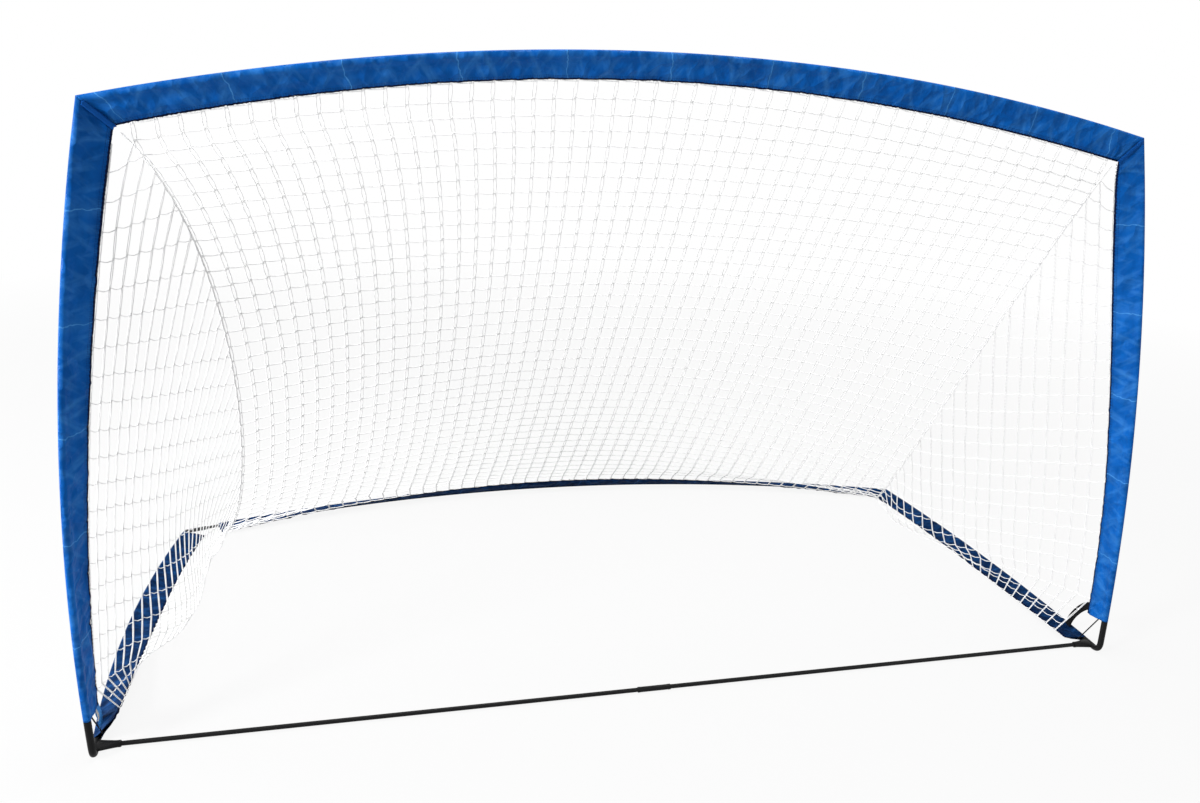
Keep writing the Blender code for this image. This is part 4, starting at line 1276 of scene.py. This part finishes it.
class GOAL_OT_sleeve_tab(bpy.types.Operator):
    """Folds a white tape and a scrap of sleeve cloth at the lower end of the left post sleeve"""

    bl_idname = "goal.sleeve_tab"
    bl_label = "Sleeve tab"

    def execute(self, context):
        goal = Goal(context.scene)
        post = goal.rails["left_post"]
        start = POST_SLEEVE_START
        hem, down = post.hem(start), -post.tangent(start)
        across = down.cross(hem)
        tape, scrap = "white_woven_tape", "uncoated_royal_polyester"
        # Place from the pole, width, drop, and how far each stands off the sleeve's middle
        jobs = [
            ("left_sleeve_tab_tape", tape, "tab", 0.040, 0.011, 0.030, 0.0016, ("left_sleeve_tab",)),
            ("left_sleeve_flap", scrap, "arch_sleeve", 0.054, 0.030, 0.052, -0.0012, ()),
        ]
        down_steps, across_steps, thickness, map_start = 12, 6, 0.0006, 0.02
        for name, cloth, slot, place, width, drop, stand, nodes in jobs:
            rows, lengths = [], []
            for k in range(down_steps + 1):
                share = k / down_steps
                point = post.centre(start) + hem * place + down * (drop * share - 0.004)
                point += across * (stand + 0.004 * math.sin(share * 2.6))
                point += hem * 0.003 * math.sin(share * 1.9)
                taper = 1 - 0.25 * share
                row = []
                for n in range(across_steps + 1):
                    ripple = across * 0.0012 * math.sin(n * 0.9 + share)
                    row.append(point + hem * width * taper * (n / across_steps - 0.5) + ripple)
                rows.append(row)
                lengths.append(map_start + drop * share)
            offsets = [map_start + width * n / across_steps for n in range(across_steps + 1)]
            piece = cloth_grid(name, rows, lengths, offsets, thickness)
            settle(piece, "frame", finish(cloth, context.scene), slot, *nodes)
        return {"FINISHED"}


def back_net_point(goal, seams, u, v):
    """A point of the back net at shares across from the left and down from the crossbar."""
    seam_gap, fade_rate = 0.0022, 14.0
    top = goal.hem_at("crossbar", u, NET_BEYOND)
    foot = goal.hem_at("rear", u, NET_BEYOND, NET_LIFT)
    point = top.lerp(foot, v)
    fade = smooth(v * fade_rate) * smooth((1 - v) * fade_rate)
    corners = {
        side: (goal.hem_at("crossbar", end, NET_BEYOND), goal.hem_at("rear", end, NET_BEYOND, NET_LIFT))
        for side, end in (("left", 0.0), ("right", 1.0))
    }
    for side, sign in SIDES.items():
        seam = curve_point(seams[side], v)
        pull = seam - RIGHT * sign * seam_gap - corners[side][0].lerp(corners[side][1], v)
        weight = (1 - u if side == "left" else u) ** EDGE_PULL_POWER
        point += pull * weight * fade
    hang = 16 * v * (1 - v) * u * (1 - u)
    return point - (BACK + UP).normalized() * goal.net.sag * hang


def belly(side, across, up):
    """How far slack pulls a side net's crossing inward and down."""
    if side == "left":
        share = smooth(across / 0.38) * (1 - 0.75 * smooth((across - 0.38) / 0.45)) * 0.84
    else:
        share = smooth(across / 0.7) * (1 - 0.34 * smooth((across - 0.75) / 0.25))
    share *= smooth((1 - across) / 0.15)
    share *= up / BELLY_HEIGHT * math.exp(1 - up / BELLY_HEIGHT)
    return RIGHT * -SIDES[side] * SIDE_BELLY[side] * share - UP * BELLY_DROP * share


def side_net_point(goal, seams, side, back, up):
    """A point of a side net at shares back and up. They are 0 at the hems and add up to 1 at the seam."""
    lowest = 0.0020
    rows = goal.side_cells[side][1]
    low = goal.hem_at(side + "_side", back, NET_BEYOND, NET_LIFT)
    if up * rows < 1:
        return low.lerp(side_net_point(goal, seams, side, back, 1 / rows), up * rows) if up else low
    start = goal.hem_at(side + "_post", (up * rows - 1) / (rows - 1), NET_BEYOND)
    if up == 1:
        return start
    across = min(back / (1 - up), 1.0)
    point = start.lerp(curve_point(seams[side], 1 - up), across) + belly(side, across, up)
    point.z = max(point.z, lowest)
    return point


def jittered(point, place, amount):
    """A point moved a little, by noise that NET_SEED starts."""
    return point + noise.noise_vector(Vector((place * 0.731, place * 0.377, 3.1))) * amount


def rib_lines(columns, gap):
    """Upright ribs: two thinner yarns side by side that close at each crossing."""
    thin = 0.78
    lines = []
    for column in columns:
        for sign in (-1, 1):
            line = []
            for k, (point, sideways) in enumerate(column):
                line.append((point + sideways * sign * gap * 0.36, thin))
                if k + 1 < len(column):
                    ahead, ahead_sideways = column[k + 1]
                    middle = point.lerp(ahead, 0.5) + (sideways + ahead_sideways) * sign * gap * 0.27
                    line.append((middle, thin))
            lines.append(line)
    return lines


def laid_line(row, joint, drop):
    """A crosswise yarn: it steps up through a twisted joint at each crossing and dips between them."""
    thick, thin, lowest = 1.12, 0.9, 0.0015
    line = []
    for k, (point, upright) in enumerate(row):
        line.append((point - upright * joint / 2, thick))
        line.append((point + upright * joint / 2, thick))
        if k + 1 < len(row):
            ahead, ahead_upright = row[k + 1]
            start, end = point + upright * joint / 2, ahead - ahead_upright * joint / 2
            dip = start.lerp(end, 0.5) - UP * drop
            dip.z = max(dip.z, lowest)
            line.append((dip, thin))
    return line


def net_way(point_at, a, b, step_a, step_b):
    """The unit direction in which a net's point moves when its shares change by small steps."""
    ahead = point_at(min(a + step_a, 1.0), min(b + step_b, 1.0))
    behind = point_at(max(a - step_a, 0.0), max(b - step_b, 0.0))
    return (ahead - behind).normalized()


class GOAL_OT_back_net(bpy.types.Operator):
    """Knits the back net between the crossbar's hem and the rear hem"""

    bl_idname = "goal.back_net"
    bl_label = "Back net"

    def execute(self, context):
        goal = Goal(context.scene)
        net = goal.net
        noise.seed_set(NET_SEED)
        shift, droop = 0.0010, 0.0012
        seams = {side: goal.seam(side) for side in SIDES}

        def point_at(u, v):
            return back_net_point(goal, seams, u, v)

        grid = {}
        for j in range(net.rows + 1):
            for i in range(net.columns + 1):
                u, v = i / net.columns, 1 - j / net.rows
                inside = 0 < i < net.columns and 0 < j < net.rows
                point = jittered(point_at(u, v), i + j * 61.0, shift if inside else 0.0)
                close = 1 - 0.65 * smooth((v - 0.70) / 0.30)
                sideways = net_way(point_at, u, v, 0.01, 0.0) * close
                upright = -net_way(point_at, u, v, 0.0, 0.01)
                grid[i, j] = point, sideways, upright
        columns = [
            [grid[i, j][:2] for j in range(net.rows + 1)] for i in range(net.columns + 1)
        ]
        rows = [
            laid_line([grid[i, j][::2] for i in range(net.columns + 1)], net.joint, droop)
            for j in range(net.rows + 1)
        ]
        white = finish("twisted_white_yarn", context.scene)
        ribs = yarn("back_net_ribs", rib_lines(columns, net.rib_gap), net.yarn / 2)
        settle(ribs, "frame", white, "net", "back_net")
        laid = yarn("back_net_laid_yarns", rows, net.yarn / 2)
        settle(laid, "frame", white, "net", "back_net")
        return {"FINISHED"}


class GOAL_OT_side_nets(bpy.types.Operator):
    """Knits the three-cornered side nets"""

    bl_idname = "goal.side_nets"
    bl_label = "Side nets"

    def execute(self, context):
        goal = Goal(context.scene)
        net = goal.net
        noise.seed_set(NET_SEED)
        shift, droop = 0.0024, 0.0032
        seams = {side: goal.seam(side) for side in SIDES}
        white = finish("twisted_white_yarn", context.scene)
        for side in SIDES:
            def point_at(back, up):
                return side_net_point(goal, seams, side, back, up)

            columns_count, rows_count = goal.side_cells[side]

            def crossing(back, up):
                inside = 0 < back and 0 < up and back + up < 0.999
                point = jittered(point_at(back, up), back * 700 + up * 900, shift if inside else 0.0)
                sideways = net_way(point_at, back, up, 0.01, 0.0)
                return point, sideways, net_way(point_at, back, up, 0.0, 0.01)

            columns = []
            for i in range(columns_count):
                back = i / columns_count
                ups = [j / rows_count for j in range(rows_count) if j / rows_count < 0.99 - back]
                columns.append([crossing(back, up)[:2] for up in (*ups, 1 - back)])
            lines = rib_lines(columns, net.side_rib_gap)
            for up in (j / rows_count for j in range(rows_count)):
                backs = [i / columns_count for i in range(columns_count) if i / columns_count < 0.99 - up]
                row = [crossing(back, up)[::2] for back in (*backs, 1 - up)]
                lines.append(laid_line(row, net.joint, droop))

            # The lowest cells are tall near the post, so more rows are laid across them
            heights = []
            for back in (i / columns_count for i in range(columns_count)):
                heights.append((back, (point_at(back, 1 / rows_count) - point_at(back, 0)).length))
            extra = []
            for height in LOW_ROWS[side]:
                extra.append([(back, height / tall) for back, tall in heights if tall > height * 1.3])
            for share in (1 / 3, 1 / 2, 2 / 3):
                extra.append([
                    (back, share) for back, tall in heights
                    if tall >= 0.040 and (tall > 0.085) != (share == 1 / 2)
                ])
            for places in extra:
                if len(places) > 1:
                    row = [crossing(back, share / rows_count)[::2] for back, share in places]
                    lines.append(laid_line(row, net.joint, droop))
            piece = yarn(f"{side}_side_net_yarns", lines, net.side_yarn / 2)
            settle(piece, "frame", white, "net", f"{side}_side_net")
        return {"FINISHED"}


class GOAL_OT_net_seam_cords(bpy.types.Operator):
    """Twists the cords that seam the side nets to the back net"""

    bl_idname = "goal.net_seam_cords"
    bl_label = "Net seam cords"

    def execute(self, context):
        goal = Goal(context.scene)
        ply = goal.net.seam_cord / 4
        pitch, count = 0.013, 1300
        white = finish("twisted_white_yarn", context.scene)
        for side in SIDES:
            controls = goal.seam(side)
            points = [curve_point(controls, k / count) for k in range(count + 1)]
            span = sum((b - a).length for a, b in zip(points, points[1:]))
            lines = [wound(points, ply * 0.95, pitch, span / count, start) for start in (0.0, math.pi)]
            piece = yarn(f"{side}_net_seam_rope", lines, ply)
            settle(piece, "frame", white, "net", f"{side}_net_seam_cord")
        return {"FINISHED"}


class GOAL_OT_poles_and_elbows(bpy.types.Operator):
    """Finishes the poles, ferrules and elbows inside the sleeves"""

    bl_idname = "goal.poles_and_elbows"
    bl_label = "Poles and elbows"

    def execute(self, context):
        finishes = {
            "_pole_section": ("pultruded_fibreglass", "pole"),
            "_pole_ferrule": ("drawn_aluminium", "ferrule"),
            "_elbow": ("pultruded_fibreglass", "elbow"),
        }
        for name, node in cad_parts.items():
            for ending, (material, slot) in finishes.items():
                if ending in name:
                    node.data.materials.clear()
                    node.data.materials.append(finish(material, context.scene))
        return {"FINISHED"}


def shown_directly(tree):
    """1 where the camera, a mirror or glass shows a surface, and 0 where the surface only lights others."""
    path = add_node(tree, "ShaderNodeLightPath").outputs
    shown = path["Is Camera Ray"]
    for ray in ("Is Glossy Ray", "Is Transmission Ray"):
        shown = add_node(tree, "ShaderNodeMath", {0: shown, 1: path[ray]}, operation="MAXIMUM").outputs[0]
    return shown


class GOAL_OT_studio(bpy.types.Operator):
    """Sets the white floor, the white world and the soft lights"""

    bl_idname = "goal.studio"
    bl_label = "Studio"

    def execute(self, context):
        scene = context.scene
        scene.view_settings.view_transform = "Standard"
        white = rgba(scene.goal_colours.studio)
        bm = bmesh.new()
        bmesh.ops.create_grid(bm, x_segments=1, y_segments=1, size=14.0)
        floor = link("studio_floor", mesh_of(bm, "studio_floor"))
        material, tree, shader = new_material("white_paper_floor")
        shader.inputs["Base Color"].default_value = rgba(scene.goal_colours.floor)
        shader.inputs["Roughness"].default_value = 0.9
        shader.inputs["Specular IOR Level"].default_value = 0.1
        place = add_node(tree, "ShaderNodeTexCoord").outputs["Object"]
        away = add_node(tree, "ShaderNodeVectorMath", {0: place}, operation="LENGTH").outputs["Value"]
        lit = add_node(
            tree, "ShaderNodeMapRange",
            {"Value": away, "From Min": 2.0, "From Max": 6.0, "To Min": 0.90, "To Max": 1.0},
        )
        share = add_node(
            tree, "ShaderNodeMath", {0: shown_directly(tree), 1: lit.outputs["Result"]}, operation="MULTIPLY"
        )
        glow = add_node(tree, "ShaderNodeEmission", {"Color": white, "Strength": 1.0})
        mixed = add_node(
            tree, "ShaderNodeMixShader",
            {0: share.outputs[0], 1: shader.outputs["BSDF"], 2: glow.outputs["Emission"]},
        )
        tree.links.new(mixed.outputs["Shader"], tree.nodes["Material Output"].inputs["Surface"])
        floor.data.materials.append(material)

        world = bpy.data.worlds.new("white_studio")
        world.use_nodes = True
        scene.world = world
        tree = world.node_tree
        tree.nodes.clear()
        strength = add_node(
            tree, "ShaderNodeMapRange", {"Value": shown_directly(tree), "To Min": 0.18, "To Max": 1.0}
        )
        sky = add_node(tree, "ShaderNodeBackground", {"Color": white, "Strength": strength.outputs["Result"]})
        out = add_node(tree, "ShaderNodeOutputWorld")
        tree.links.new(sky.outputs["Background"], out.inputs["Surface"])

        aim = UP * 0.6
        lamps = [
            ("key_softbox", (-4.2, -2.5, 2.8), 1.0, 240.0),
            ("side_softbox", (-4.4, 0.5, 0.5), 1.4, 150.0),
            ("fill_softbox", (3.0, -3.4, 2.2), 2.2, 38.0),
            ("top_softbox", (0.0, 0.4, 4.2), 2.4, 130.0),
        ]
        for name, place, size, power in lamps:
            data = bpy.data.lights.new(name, "AREA")
            data.shape = "SQUARE"
            data.size = size
            data.energy = power
            lamp = link(name, data)
            lamp.location = place
            lamp.rotation_euler = (aim - Vector(place)).to_track_quat("-Z", "Y").to_euler()
        return {"FINISHED"}


OPERATORS = (
    GOAL_OT_camera, GOAL_OT_corner_elastics, GOAL_OT_arch_sleeves, GOAL_OT_ground_sleeves,
    GOAL_OT_overlocked_hems, GOAL_OT_corner_bindings, GOAL_OT_corner_tubes, GOAL_OT_bar_sockets,
    GOAL_OT_front_bar, GOAL_OT_corner_straps, GOAL_OT_sleeve_tab, GOAL_OT_back_net, GOAL_OT_side_nets,
    GOAL_OT_net_seam_cords, GOAL_OT_poles_and_elbows, GOAL_OT_studio,
)


class GOAL_PT_builder(bpy.types.Panel):
    """Lists the goal's sizes and the pieces that can be built"""

    bl_idname = "GOAL_PT_builder"
    bl_label = "Soccer goal"
    bl_space_type = "VIEW_3D"
    bl_region_type = "UI"
    bl_category = "Goal"

    def draw(self, context):
        scene = context.scene
        for group in (scene.goal_sizes, scene.goal_sleeves, scene.goal_nets, scene.goal_colours):
            box = self.layout.box()
            for name in group.__annotations__:
                box.prop(group, name)
        for operator in OPERATORS:
            self.layout.operator(operator.bl_idname)


GROUPS = {
    "goal_sizes": GoalSizes, "goal_sleeves": SleeveSizes, "goal_nets": NetSizes, "goal_colours": GoalColours,
}


def register():
    for group in GROUPS.values():
        bpy.utils.register_class(group)
    for name, group in GROUPS.items():
        setattr(bpy.types.Scene, name, PointerProperty(type=group))
    for operator in (*OPERATORS, GOAL_PT_builder):
        bpy.utils.register_class(operator)


def unregister():
    for operator in reversed((*OPERATORS, GOAL_PT_builder)):
        bpy.utils.unregister_class(operator)
    for name, group in reversed(GROUPS.items()):
        delattr(bpy.types.Scene, name)
        bpy.utils.unregister_class(group)


def main():
    register()
    for operator in OPERATORS:
        family, action = operator.bl_idname.split(".")
        getattr(getattr(bpy.ops, family), action)()


if __name__ == "__main__":
    main()
